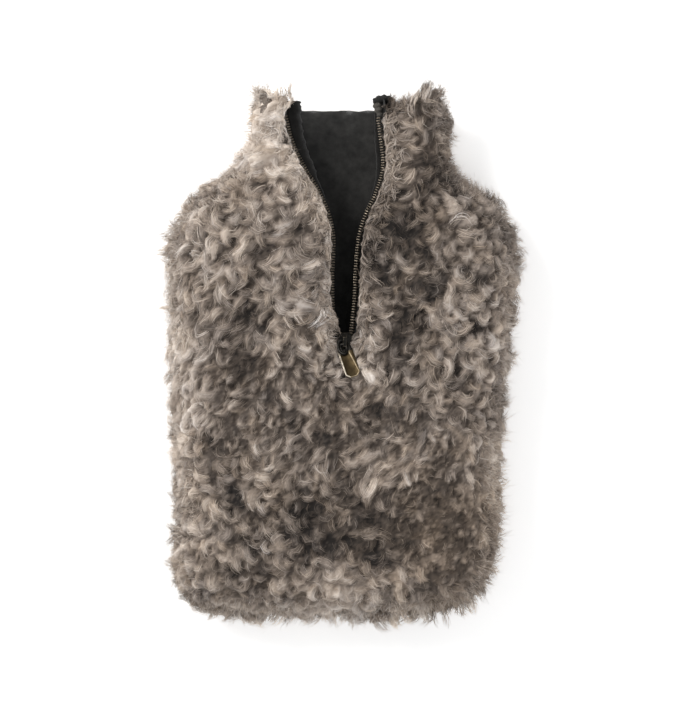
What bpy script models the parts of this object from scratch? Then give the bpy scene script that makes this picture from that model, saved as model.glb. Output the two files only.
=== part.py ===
"""A curly sheepskin cover for a hot water bottle, lying on its back.

A front and a back panel, pile outwards, meet in a seam round the sides and the
bottom and are hollow where the bottle goes. A half zip opens the front from the
polo neck down, and stands open. X runs across, Y up to the neck, Z up out of the
front. The origin is on the surface that the back lies on.
Lengths are in millimetres, and solid() turns them into metres.
"""
import math
from collections import namedtuple

import bmesh
import bpy
from mathutils import Matrix, Vector, noise

MM = 0.001
GAP = 0.3                   # between pieces that touch

# The outline of the pile at each height up the cover, the radius at which the
# front rounds over to the side, and the wall from the outline in to the pocket.
Section = namedtuple("Section", "y left right rounding wall")
SECTIONS = (
    Section(-177, -60, 20, 28, 15),
    Section(-174, -84, 55, 28, 15),
    Section(-170, -98, 83, 28, 15),
    Section(-162, -110, 97, 30, 15),
    Section(-146, -116, 104, 32, 15),
    Section(-122, -115, 110, 34, 15),
    Section(-74, -115, 110, 34, 15),
    Section(-26, -118, 112, 34, 15),
    Section(14, -118, 116, 34, 15),
    Section(46, -119, 119, 34, 15),
    Section(66, -121, 122, 32, 16),
    Section(80, -117, 119, 30, 18),
    Section(94, -109, 112, 28, 21),
    Section(102, -106, 108, 26, 29),
    Section(110, -94, 93, 24, 28),
    Section(118, -79, 81, 20, 20),
    Section(130, -71, 74, 18, 14),
    Section(146, -62, 75, 16, 11),
    Section(158, -64, 75, 16, 9.5),
    Section(170, -60, 70, 16, 8),
)
# Rise of the pile over the collar's top edge, across the front.
Tuft = namedtuple("Tuft", "x rise")
COLLAR_TUFTS = (Tuft(-62, 2), Tuft(-40, 3), Tuft(-34, -1), Tuft(24, -2), Tuft(46, -3),
                Tuft(62, 7), Tuft(72, -3))
TUFT_DEPTH = 22.0

BOTTOM_Y = SECTIONS[0].y
COLLAR_Y = SECTIONS[-1].y
BACK_COLLAR_Y = 166.0       # the back stands a little lower than the front
SEAM_Z = 26.0               # side seam above the surface
BODY_TOP = 66.0             # top of the pile on the body
NECK_TOP = 56.0             # top of the pile on the neck
NECK_FROM, NECK_TO = 76.0, 142.0
FRONT_WALL = 14.0           # leather and pile over the pocket
BACK_WALL = 9.5             # the same below it, pressed by the weight
BOTTOM_WALL = 16.0
RIM_STEP = 1.5              # the pocket's mouth lies this far inside the collar's edge
END_ROUNDING = 34.0         # rounding over the bottom edge
POCKET_ROUNDING = 20.0
NECK_POCKET_ROUNDING = 4.0
REST_SHARE = 1.06           # how far past the surface the back would reach, unpressed
PRESSED_TO, FREE_FROM = 2.0, 12.0    # heights between which the back's curls come free

# Centre lines of the two chains of teeth, the slider and the slit that they edge.
Chain = namedtuple("Chain", "y left right")
CHAINS = (
    Chain(5, 0.4, 4.2),
    Chain(12, -1.3, 5.9),
    Chain(17, -4.0, 6.7),
    Chain(27, -6.4, 7.7),
    Chain(35, -6.7, 8.5),
    Chain(55, -6.7, 9.3),
    Chain(75, -6.0, 11.2),
    Chain(88, -8.0, 14.5),
    Chain(106, -15.3, 22.9),
    Chain(123, -25.4, 27.6),
    Chain(140, -33.5, 26.2),
    Chain(158, -38.0, 24.0),
    Chain(167, -39.5, 22.6),
)
SLIT_END_Y = -4.5
SLIT_END_HALF = 7.0         # half width of the slit round the slider
SLIT_X = 1.9
SLIT_FADE = 45.0            # below the slit, the points spread evenly again over this
EDGE_OFFSET = 5.0           # from a chain's centre line out to the leather's edge
EDGE_SINK = 11.0            # how far the pile falls away to the slit
EDGE_ROUNDING = 13.0
SINK_OF_FLAT_PILE = 7.7     # no curls stand where the pile falls further than this

TOOTH_PITCH = 1.77
TOOTH_WIDTH = 3.6
TOOTH_NOTCH = 0.9
TOOTH_HEIGHT = 2.4
TEETH_FROM, TEETH_TO = 8.6, 158.5
TAPE_WIDTH = 6.0
TAPE_THICKNESS = 1.0
TAPE_DROP = 1.3             # middle of the tape below the leather it is sewn to
TAPE_FROM, TAPE_TO = -2.0, 166.5
TAPE_STEP = 6.0

SLIDER_Y = 7.3
SLIDER_LENGTH = 12.0
SLIDER_WIDE, SLIDER_NARROW, SLIDER_SHOULDER = 8.6, 6.4, 2.4
PLATE, PLATE_CORNER = 1.3, 1.0
CHAIN_SPACE = 3.1           # between the slider's two plates
POST_LENGTH, POST_WIDTH, POST_INSET = 4.0, 2.2, 0.4
BAIL_WIDTH, BAIL_LENGTH, BAIL_RISE = 2.2, 9.0, 4.6
BAIL_BAR, BAIL_CORNER, BAIL_TAPER = 1.2, 0.6, 0.8

PULL_EYE = (1.9, 5.4)       # where the pull hangs in the bail
PULL_TURN = math.radians(18.5)
PULL_RISE = math.radians(18.0)
PULL_LENGTH, PULL_WIDTH, PULL_THICKNESS = 23.0, 9.0, 1.3
PULL_NECK, PULL_SHOULDER, PULL_CORNER = 6.4, 4.0, 2.4
EYE_LENGTH, EYE_WIDTH, EYE_BAR = 3.0, 3.6, 1.4
DENT_FLAT, DENT_RADIUS = 8.5, 22.0   # pile pressed down under the pull
DENT_SPARE = 0.8

CURL_SIZE = 19.0
CURL_RISE = 6.5             # from the hollows between curls to their tops
CURL_EDGE, CURL_MEAN = 0.85, 0.4     # share of a curl's size where it ends, and its mean rise
SWELL_SIZE, SWELL_RISE = 55.0, 2.5   # broader rises and falls of the pile
LOCK_PITCH = 14.0           # locks along the seam
LOCK_REACH = 6.0
LOCK_INSET = LOCK_REACH / 2.0   # the seam runs half a lock inside the outline
LOCK_LEAST, LOCK_VARY = 0.75, 0.5

# Steps of the panels' outer sheets, each twice those of their inner sheets:
# columns from the seam to the middle, rows below and above the end of the slit.
Steps = namedtuple("Steps", "columns below above")
FRONT_STEPS = Steps(22, 26, 26)
BACK_STEPS = Steps(16, 22, 20)
ROW_SPREAD = 1.3            # rows crowd together at the bottom edge

WOOL = (0.153, 0.124, 0.102)
TAPE_BLACK = (0.012, 0.011, 0.011)
AGED_BRASS = (0.23, 0.19, 0.14)
BLACK_NICKEL = (0.035, 0.033, 0.03)
PULL_BRASS = (0.19, 0.13, 0.065)


def clear_scene():
    for obj in list(bpy.data.objects):
        bpy.data.objects.remove(obj, do_unlink=True)


def material(name, colour, roughness, metallic):
    made = bpy.data.materials.new(name)
    made.use_nodes = True
    shader = made.node_tree.nodes["Principled BSDF"]
    shader.inputs["Base Color"].default_value = (*colour, 1.0)
    shader.inputs["Roughness"].default_value = roughness
    shader.inputs["Metallic"].default_value = metallic
    return made


def solid(name, bm, finish, sharp_degrees):
    """Turns a mesh in millimetres into the named object in metres."""
    bmesh.ops.recalc_face_normals(bm, faces=bm.faces)
    bmesh.ops.scale(bm, vec=(MM, MM, MM), verts=bm.verts)
    mesh = bpy.data.meshes.new(name)
    bm.to_mesh(mesh)
    bm.free()
    mesh.shade_smooth()
    mesh.set_sharp_from_angle(angle=math.radians(sharp_degrees))
    mesh.materials.append(finish)
    obj = bpy.data.objects.new(name, mesh)
    bpy.context.collection.objects.link(obj)
    return obj


# Reading the tables

def at(table, place):
    """The table's row at a place in its first column, on a smooth curve through its rows."""
    last = len(table) - 1
    k = next((i for i in range(last - 1) if place < table[i + 1][0]), last - 1)
    before, low, high, after = (table[min(max(i, 0), last)] for i in (k - 1, k, k + 1, k + 2))
    step = high[0] - low[0]
    t = min(max((place - low[0]) / step, 0.0), 1.0)
    values = []
    for column in range(1, len(low)):
        start, end = low[column], high[column]
        slope_low = (end - before[column]) / (high[0] - before[0]) * step
        slope_high = (after[column] - start) / (after[0] - low[0]) * step
        bend = 3.0 * (end - start) - 2.0 * slope_low - slope_high
        twist = slope_low + slope_high - 2.0 * (end - start)
        values.append(start + t * (slope_low + t * (bend + t * twist)))
    return type(low)(place, *values)


def rounded(distance, radius):
    """Rise of a quarter circle: 0 at an edge, 1 from one radius inwards."""
    t = min(max(distance / radius, 0.0), 1.0)
    return math.sqrt(1.0 - (1.0 - t) ** 2)


def eased(value, low, high):
    t = min(max((value - low) / (high - low), 0.0), 1.0)
    return t * t * (3.0 - 2.0 * t)


def pile_top(y):
    return BODY_TOP + (NECK_TOP - BODY_TOP) * eased(y, NECK_FROM, NECK_TO)


def slit_edge(side, y):
    """X of the leather's edge on one side of the slit, side -1 left and 1 right."""
    if y <= CHAINS[1].y:
        return SLIT_X + side * SLIT_END_HALF * rounded(y - SLIT_END_Y, SLIT_END_HALF)
    chain = at(CHAINS, y)
    return chain.left - EDGE_OFFSET if side < 0 else chain.right + EDGE_OFFSET


def sink_under_pull(x, y):
    """How far the pile is pressed down under the pull, less towards its far end."""
    run = Vector((math.sin(PULL_TURN), -math.cos(PULL_TURN)))
    reach = Vector((x, y)) - Vector(PULL_EYE)
    along = min(max(reach.dot(run), 0.0), PULL_LENGTH)
    depth = EDGE_SINK + DENT_SPARE - along * math.sin(PULL_RISE)
    return depth * (1.0 - eased((reach - along * run).length, DENT_FLAT, DENT_RADIUS))


def sink(x, y):
    """How far the pile lies below its top, down to the slit and under the pull."""
    if y > SLIT_END_Y:
        side = -1 if x < SLIT_X else 1
        to_slit = side * (x - slit_edge(side, y))
    else:
        to_slit = math.hypot(x - SLIT_X, y - SLIT_END_Y)
    at_slit = EDGE_SINK * (1.0 - rounded(to_slit, EDGE_ROUNDING))
    return max(at_slit, sink_under_pull(x, y))


# Places on the sheets that bound the panels: side -1 left and 1 right of the
# slit, share 0 to 1 across that side from left to right.

def crowded(side, share, at_slit):
    """Share moved towards the seam, and by at_slit (0 to 1) also towards the slit."""
    quarter = math.pi / 2.0 * share
    to_seam = 1.0 - math.cos(quarter) if side < 0 else math.sin(quarter)
    to_both = (1.0 - math.cos(2.0 * quarter)) / 2.0
    return to_seam + (to_both - to_seam) * at_slit


def front_x(side, share, y, wall):
    """X on the front, from a wall inside the seam to the slit or the line below it."""
    section = at(SECTIONS, y)
    middle = slit_edge(side, y) if y > SLIT_END_Y else SLIT_X
    low = section.left + wall if side < 0 else middle
    high = middle if side < 0 else section.right - wall
    at_slit = eased(y, SLIT_END_Y - SLIT_FADE, SLIT_END_Y)
    return low + (high - low) * crowded(side, share, at_slit)


def back_x(side, share, y, wall):
    """X on the back, from a wall inside the seam to the middle."""
    section = at(SECTIONS, y)
    middle = (section.left + section.right) / 2.0
    low = section.left + wall if side < 0 else middle
    high = middle if side < 0 else section.right - wall
    return low + (high - low) * crowded(side, share, 0.0)


def from_outline(x, y, wall):
    section = at(SECTIONS, y)
    return min(x - section.left, section.right - x) - wall


def tuft_rise(x, y):
    """The collar's top edge lifted to its tufts, fading out below it."""
    return at(COLLAR_TUFTS, x).rise * eased(y, COLLAR_Y - TUFT_DEPTH, COLLAR_Y)


def front_outer(side, share, y):
    x = front_x(side, share, y, LOCK_INSET)
    rise = rounded(from_outline(x, y, LOCK_INSET), at(SECTIONS, y).rounding)
    rise *= rounded(y - BOTTOM_Y, END_ROUNDING)
    top = pile_top(y) - sink(x, y)
    z = SEAM_Z + GAP / 2.0 + (top - SEAM_Z) * rise
    return Vector((x, y + tuft_rise(x, y), z))


def pocket_rounding(y):
    return POCKET_ROUNDING + (NECK_POCKET_ROUNDING - POCKET_ROUNDING) * eased(y, NECK_FROM, NECK_TO)


def pocket_rise(x, y):
    """0 at the pocket's outline, 1 where it is at its full depth."""
    side_rise = rounded(from_outline(x, y, at(SECTIONS, y).wall), pocket_rounding(y))
    return side_rise * rounded(y - BOTTOM_Y - BOTTOM_WALL, POCKET_ROUNDING)


def front_inner(side, share, y):
    x = front_x(side, share, y, at(SECTIONS, y).wall)
    z = SEAM_Z + GAP / 2.0 + (pile_top(y) - FRONT_WALL - SEAM_Z) * pocket_rise(x, y)
    return Vector((x, y, z))


def back_outer(side, share, y):
    x = back_x(side, share, y, LOCK_INSET)
    rise = rounded(from_outline(x, y, LOCK_INSET), at(SECTIONS, y).rounding)
    rise *= rounded(y - BOTTOM_Y, END_ROUNDING)
    z = (SEAM_Z - GAP / 2.0) * (1.0 - min(1.0, REST_SHARE * rise))
    return Vector((x, y, z))


def back_inner(side, share, y):
    x = back_x(side, share, y, at(SECTIONS, y).wall)
    z = SEAM_Z - GAP / 2.0 - (SEAM_Z - BACK_WALL) * pocket_rise(x, y)
    return Vector((x, y, z))


# Panels

def row_heights(bottom, top, below, above):
    """Y of each row, with one row exactly at the end of the slit."""
    heights = [bottom + (SLIT_END_Y - bottom) * (i / below) ** ROW_SPREAD for i in range(below)]
    return heights + [SLIT_END_Y + (top - SLIT_END_Y) * i / above for i in range(above + 1)]


def sheet(bm, place, heights, columns, split):
    """Left and right halves of a sheet, open between them above row split."""
    left, right = [], []
    for row, y in enumerate(heights):
        shares = [c / columns for c in range(columns + 1)]
        left.append([bm.verts.new(place(-1, share, y)) for share in shares])
        joined = [left[row][-1]] if row <= split else [bm.verts.new(place(1, 0.0, y))]
        right.append(joined + [bm.verts.new(place(1, share, y)) for share in shares[1:]])
    for half in (left, right):
        for low, high in zip(half, half[1:]):
            for c in range(columns):
                bm.faces.new((low[c], low[c + 1], high[c + 1], high[c]))
    return left, right


def border(left, right, split):
    """The sheet's edge: bottom, right seam, top, down and up the slit, left seam."""
    top = len(left) - 1
    loop = left[0] + right[0][1:]
    loop += [row[-1] for row in right[1:]]
    loop += right[top][-2::-1]
    if split < top:
        loop += [right[row][0] for row in range(top - 1, split - 1, -1)]
        loop += [left[row][-1] for row in range(split + 1, top + 1)]
    loop += left[top][-2::-1]
    return loop + [left[row][0] for row in range(top - 1, 0, -1)]


def stitch(bm, outer, inner):
    """Walls between two borders, with two outer edges to each inner one."""
    count = len(inner)
    for k in range(count):
        first, second, third = (outer[(2 * k + i) % len(outer)] for i in range(3))
        near, far = inner[k], inner[(k + 1) % count]
        bm.faces.new((first, second, near))
        bm.faces.new((second, far, near))
        bm.faces.new((second, third, far))


def pile_lift(place):
    """Height of the curls and swells over the pile's lowest hollows."""
    to_curl = noise.voronoi(place / CURL_SIZE)[0][0]
    curl = 1.0 - eased(to_curl, 0.0, CURL_EDGE)
    swell = noise.noise(place / SWELL_SIZE)
    return CURL_RISE * (curl - CURL_MEAN) + SWELL_RISE * swell


def raise_curls(bm, left, right, split, freedom):
    """Lifts a sheet's inner points along their normals, by freedom(point) of a curl."""
    bm.normal_update()
    free = []
    for row in range(1, len(left)):
        free += left[row][1:-1] + right[row][1:-1]
        if row < split:
            free.append(left[row][-1])
    lifts = [vert.normal * pile_lift(vert.co) * freedom(vert.co) for vert in free]
    for vert, lift in zip(free, lifts):
        vert.co += lift


def grow_locks(left, right, shift):
    """Draws the seam's edge out into locks, and in between them."""
    edge = [row[0] for row in reversed(left)] + left[0][1:] + right[0][1:]
    edge += [row[-1] for row in right[1:]]
    travelled = 0.0
    moves = []
    for before, vert, after in zip(edge, edge[1:], edge[2:]):
        travelled += (vert.co - before.co).length
        run = (after.co - before.co).normalized()
        wave = math.cos(2.0 * math.pi * (travelled / LOCK_PITCH + shift))
        size = LOCK_LEAST + LOCK_VARY * noise.noise(vert.co / CURL_SIZE)
        moves.append((vert, Vector((run.y, -run.x, 0.0)) * LOCK_INSET * wave * size))
    for vert, move in moves:
        vert.co += move


def front_freedom(place):
    """Curls stand up on the open face and lie down at the slit and under the pull."""
    return 1.0 - eased(sink(place.x, min(place.y, COLLAR_Y)), 0.0, SINK_OF_FLAT_PILE)


def back_freedom(place):
    """Curls are pressed flat where the back lies on the surface."""
    return eased(place.z, PRESSED_TO, FREE_FROM)


def panel(name, outer_place, inner_place, top, steps, split, freedom, lock_shift):
    bm = bmesh.new()
    columns, below, above = steps
    outer_rows = row_heights(BOTTOM_Y, top, below, above)
    inner_rows = row_heights(BOTTOM_Y + BOTTOM_WALL, top - RIM_STEP, below // 2, above // 2)
    outer = sheet(bm, outer_place, outer_rows, columns, split)
    inner = sheet(bm, inner_place, inner_rows, columns // 2, split // 2)
    stitch(bm, border(*outer, split), border(*inner, split // 2))
    bmesh.ops.recalc_face_normals(bm, faces=bm.faces)
    raise_curls(bm, *outer, split, freedom)
    grow_locks(*outer, lock_shift)
    return solid(name, bm, material(name, WOOL, 0.9, 0.0), 60.0)


def front_panel():
    """Open down the slit, whose end is the row that the steps below it reach."""
    return panel("front_panel", front_outer, front_inner, COLLAR_Y, FRONT_STEPS,
                 FRONT_STEPS.below, front_freedom, 0.0)


def back_panel():
    return panel("back_panel", back_outer, back_inner, BACK_COLLAR_Y, BACK_STEPS,
                 BACK_STEPS.below + BACK_STEPS.above, back_freedom, 0.5)


# Zip

def chain_place(side, y):
    """Centre of a chain, and the direction across it towards the leather."""
    def centre(height):
        chain = at(CHAINS, height)
        x = chain.left if side < 0 else chain.right
        return Vector((x, height, pile_top(height) - FRONT_WALL - TAPE_DROP))

    run = centre(y + 0.5) - centre(y - 0.5)
    across = Vector((run.y, -run.x, 0.0)).normalized() * side
    return centre(y), across


def ribbon(name, stations, thickness, finish):
    """A flat bar through stations, each a point on its one edge and one on the other."""
    bm = bmesh.new()
    lift = Vector((0.0, 0.0, thickness / 2.0))
    rings = [[bm.verts.new(p) for p in (near - lift, far - lift, far + lift, near + lift)]
             for near, far in stations]
    for low, high in zip(rings, rings[1:]):
        for i in range(4):
            bm.faces.new((low[i], low[(i + 1) % 4], high[(i + 1) % 4], high[i]))
    bm.faces.new(rings[0])
    bm.faces.new(rings[-1])
    return solid(name, bm, finish, 30.0)


def zip_tape(name, side):
    near_edge = TOOTH_WIDTH / 2.0 + GAP
    stations = []
    steps = round((TAPE_TO - TAPE_FROM) / TAPE_STEP)
    for k in range(steps + 1):
        centre, across = chain_place(side, TAPE_FROM + (TAPE_TO - TAPE_FROM) * k / steps)
        stations.append((centre + across * near_edge, centre + across * (near_edge + TAPE_WIDTH)))
    return ribbon(name, stations, TAPE_THICKNESS, material(name, TAPE_BLACK, 0.85, 0.0))


def zip_teeth(name, side):
    """Teeth on one spine, each a step in and out of the chain's open edge."""
    stations = []
    count = round((TEETH_TO - TEETH_FROM) / TOOTH_PITCH)
    for k in range(2 * count + 1):
        centre, across = chain_place(side, TEETH_FROM + TOOTH_PITCH * k / 2.0)
        notch = TOOTH_NOTCH if k % 2 else 0.0
        stations.append((centre + across * TOOTH_WIDTH / 2.0,
                         centre - across * (TOOTH_WIDTH / 2.0 - notch)))
    return ribbon(name, stations, TOOTH_HEIGHT, material(name, AGED_BRASS, 0.4, 1.0))


def plan_prism(outline, low, high):
    """A mesh over a plan outline between two heights."""
    bm = bmesh.new()
    face = bm.faces.new([bm.verts.new((x, y, low)) for x, y in outline])
    grown = bmesh.ops.extrude_face_region(bm, geom=[face])
    raised = [v for v in grown["geom"] if isinstance(v, bmesh.types.BMVert)]
    bmesh.ops.translate(bm, vec=(0.0, 0.0, high - low), verts=raised)
    return bm


def chamfered(outline, corners, cut):
    """An outline with the numbered corners cut off."""
    points = []
    for k, corner in enumerate(outline):
        here = Vector(corner)
        if k not in corners:
            points.append(tuple(here))
            continue
        for other in (outline[k - 1], outline[(k + 1) % len(outline)]):
            points.append(tuple(here + (Vector(other) - here).normalized() * cut))
    return points


def join(obj, other, operation):
    """Adds or cuts another object, kept as a hidden guide."""
    modifier = obj.modifiers.new(other.name, "BOOLEAN")
    modifier.operation = operation
    modifier.object = other
    other.hide_render = True
    other.display_type = "WIRE"


def slider_outline():
    """Plan of a slider plate, wide at the end where the chains part."""
    half = SLIDER_LENGTH / 2.0
    corners = [(-SLIDER_NARROW / 2, -half), (SLIDER_NARROW / 2, -half),
               (SLIDER_WIDE / 2, SLIDER_SHOULDER), (SLIDER_WIDE / 2, half),
               (-SLIDER_WIDE / 2, half), (-SLIDER_WIDE / 2, SLIDER_SHOULDER)]
    return chamfered(corners, (0, 1, 3, 4), PLATE_CORNER)


def side_prism(outline, width):
    """A mesh over an outline in the plane of Y and Z, centred across X."""
    bm = bmesh.new()
    face = bm.faces.new([bm.verts.new((-width / 2.0, y, z)) for y, z in outline])
    grown = bmesh.ops.extrude_face_region(bm, geom=[face])
    moved = [v for v in grown["geom"] if isinstance(v, bmesh.types.BMVert)]
    bmesh.ops.translate(bm, vec=(width, 0.0, 0.0), verts=moved)
    return bm


def bail_outline(half, rise, base):
    """A low arch from base up, narrower at the top, with its corners cut."""
    arch = [(-half, base), (half, base), (half * BAIL_TAPER, rise), (-half * BAIL_TAPER, rise)]
    return chamfered(arch, (2, 3), BAIL_CORNER)


def zip_slider():
    """Two plates round the chains, a post that parts them, and a bail on top."""
    finish = material("zip_slider", BLACK_NICKEL, 0.3, 1.0)
    centre_z = pile_top(SLIDER_Y) - FRONT_WALL - TAPE_DROP
    top = CHAIN_SPACE / 2.0
    slider = solid("zip_slider", plan_prism(slider_outline(), top, top + PLATE), finish, 30.0)
    slider.location = Vector((SLIT_X, SLIDER_Y, centre_z)) * MM
    post_top = SLIDER_LENGTH / 2.0 - POST_INSET
    post = [(0.0, post_top - POST_LENGTH), (POST_WIDTH / 2, post_top - POST_LENGTH / 3),
            (POST_WIDTH / 2, post_top), (-POST_WIDTH / 2, post_top),
            (-POST_WIDTH / 2, post_top - POST_LENGTH / 3)]
    bail_top = top + PLATE + BAIL_RISE
    guides = (
        ("lower_plate", plan_prism(slider_outline(), -top - PLATE, -top), "UNION"),
        ("post", plan_prism(post, -top - PLATE / 2, top + PLATE / 2), "UNION"),
        ("bail", side_prism(bail_outline(BAIL_LENGTH / 2, bail_top, top + PLATE / 2), BAIL_WIDTH),
         "UNION"),
        ("bail_window", side_prism(bail_outline(BAIL_LENGTH / 2 - BAIL_BAR, bail_top - BAIL_BAR,
                                                top + PLATE), 2.0 * BAIL_WIDTH), "DIFFERENCE"),
    )
    for name, bm, operation in guides:
        guide = solid("slider_" + name, bm, finish, 30.0)
        guide.parent = slider
        join(slider, guide, operation)
    return slider


def zip_pull():
    """A tapered plate with an eye for the bail and its far corners cut."""
    finish = material("zip_pull", PULL_BRASS, 0.35, 1.0)
    half, neck = PULL_WIDTH / 2.0, PULL_NECK / 2.0
    plate = [(-half, -PULL_LENGTH), (half, -PULL_LENGTH), (half, -PULL_SHOULDER),
             (neck, EYE_BAR), (-neck, EYE_BAR), (-half, -PULL_SHOULDER)]
    thick = PULL_THICKNESS / 2.0
    pull = solid("zip_pull", plan_prism(chamfered(plate, (0, 1), PULL_CORNER), -thick, thick),
                 finish, 30.0)
    eye = [(-EYE_WIDTH / 2, -EYE_LENGTH), (EYE_WIDTH / 2, -EYE_LENGTH),
           (EYE_WIDTH / 2, 0.0), (-EYE_WIDTH / 2, 0.0)]
    hole = solid("pull_eye", plan_prism(eye, -PULL_THICKNESS, PULL_THICKNESS), finish, 30.0)
    hole.parent = pull
    join(pull, hole, "DIFFERENCE")
    chain_z = pile_top(SLIDER_Y) - FRONT_WALL - TAPE_DROP
    hang_z = chain_z + CHAIN_SPACE / 2.0 + PLATE + BAIL_RISE - BAIL_BAR - GAP - thick
    turn = Matrix.Rotation(PULL_TURN, 4, "Z") @ Matrix.Rotation(-PULL_RISE, 4, "X")
    pull.matrix_world = Matrix.Translation(Vector((*PULL_EYE, hang_z)) * MM) @ turn
    return pull


clear_scene()
front_panel()
back_panel()
for side, word in ((-1, "left"), (1, "right")):
    zip_tape("zip_tape_" + word, side)
    zip_teeth("zip_teeth_" + word, side)
zip_slider()
zip_pull()
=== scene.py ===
import math

import bmesh
import bpy
import numpy as np
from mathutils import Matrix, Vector, noise
from mathutils.bvhtree import BVHTree
from mathutils.kdtree import KDTree


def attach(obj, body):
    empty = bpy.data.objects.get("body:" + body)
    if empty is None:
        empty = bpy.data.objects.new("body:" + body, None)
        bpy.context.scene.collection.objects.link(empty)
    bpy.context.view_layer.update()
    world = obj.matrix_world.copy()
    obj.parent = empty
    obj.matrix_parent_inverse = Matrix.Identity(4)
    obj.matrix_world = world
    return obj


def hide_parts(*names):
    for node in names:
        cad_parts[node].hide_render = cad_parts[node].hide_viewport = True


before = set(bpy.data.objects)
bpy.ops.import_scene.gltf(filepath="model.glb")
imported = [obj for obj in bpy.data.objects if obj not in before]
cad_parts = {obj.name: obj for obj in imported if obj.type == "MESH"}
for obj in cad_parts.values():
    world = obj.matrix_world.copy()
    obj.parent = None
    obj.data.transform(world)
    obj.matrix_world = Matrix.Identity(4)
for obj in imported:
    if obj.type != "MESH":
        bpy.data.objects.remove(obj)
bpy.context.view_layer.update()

# Looks of a curly sheepskin cover. Every length below is in millimetres, and
# each mesh is turned into metres as it is made.
MM = 0.001
SEED = 41

# Light and camera
VIEW_AT = (-3.3, 0.7)
VIEW_HEIGHT_MM = 469.3
VIEW_PLANE_Z = 30.0
VIEW_DISTANCE = 1900.0
SENSOR = 36.0

# Pile
LONGEST_EDGE = 10.0         # the panels' faces are cut up until no edge is longer
PILE_DEPTH = 8.0            # from the pile's mean surface in to the skin
PILE_SHARE = 0.55           # the same, as the most of the wall's thickness

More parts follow.
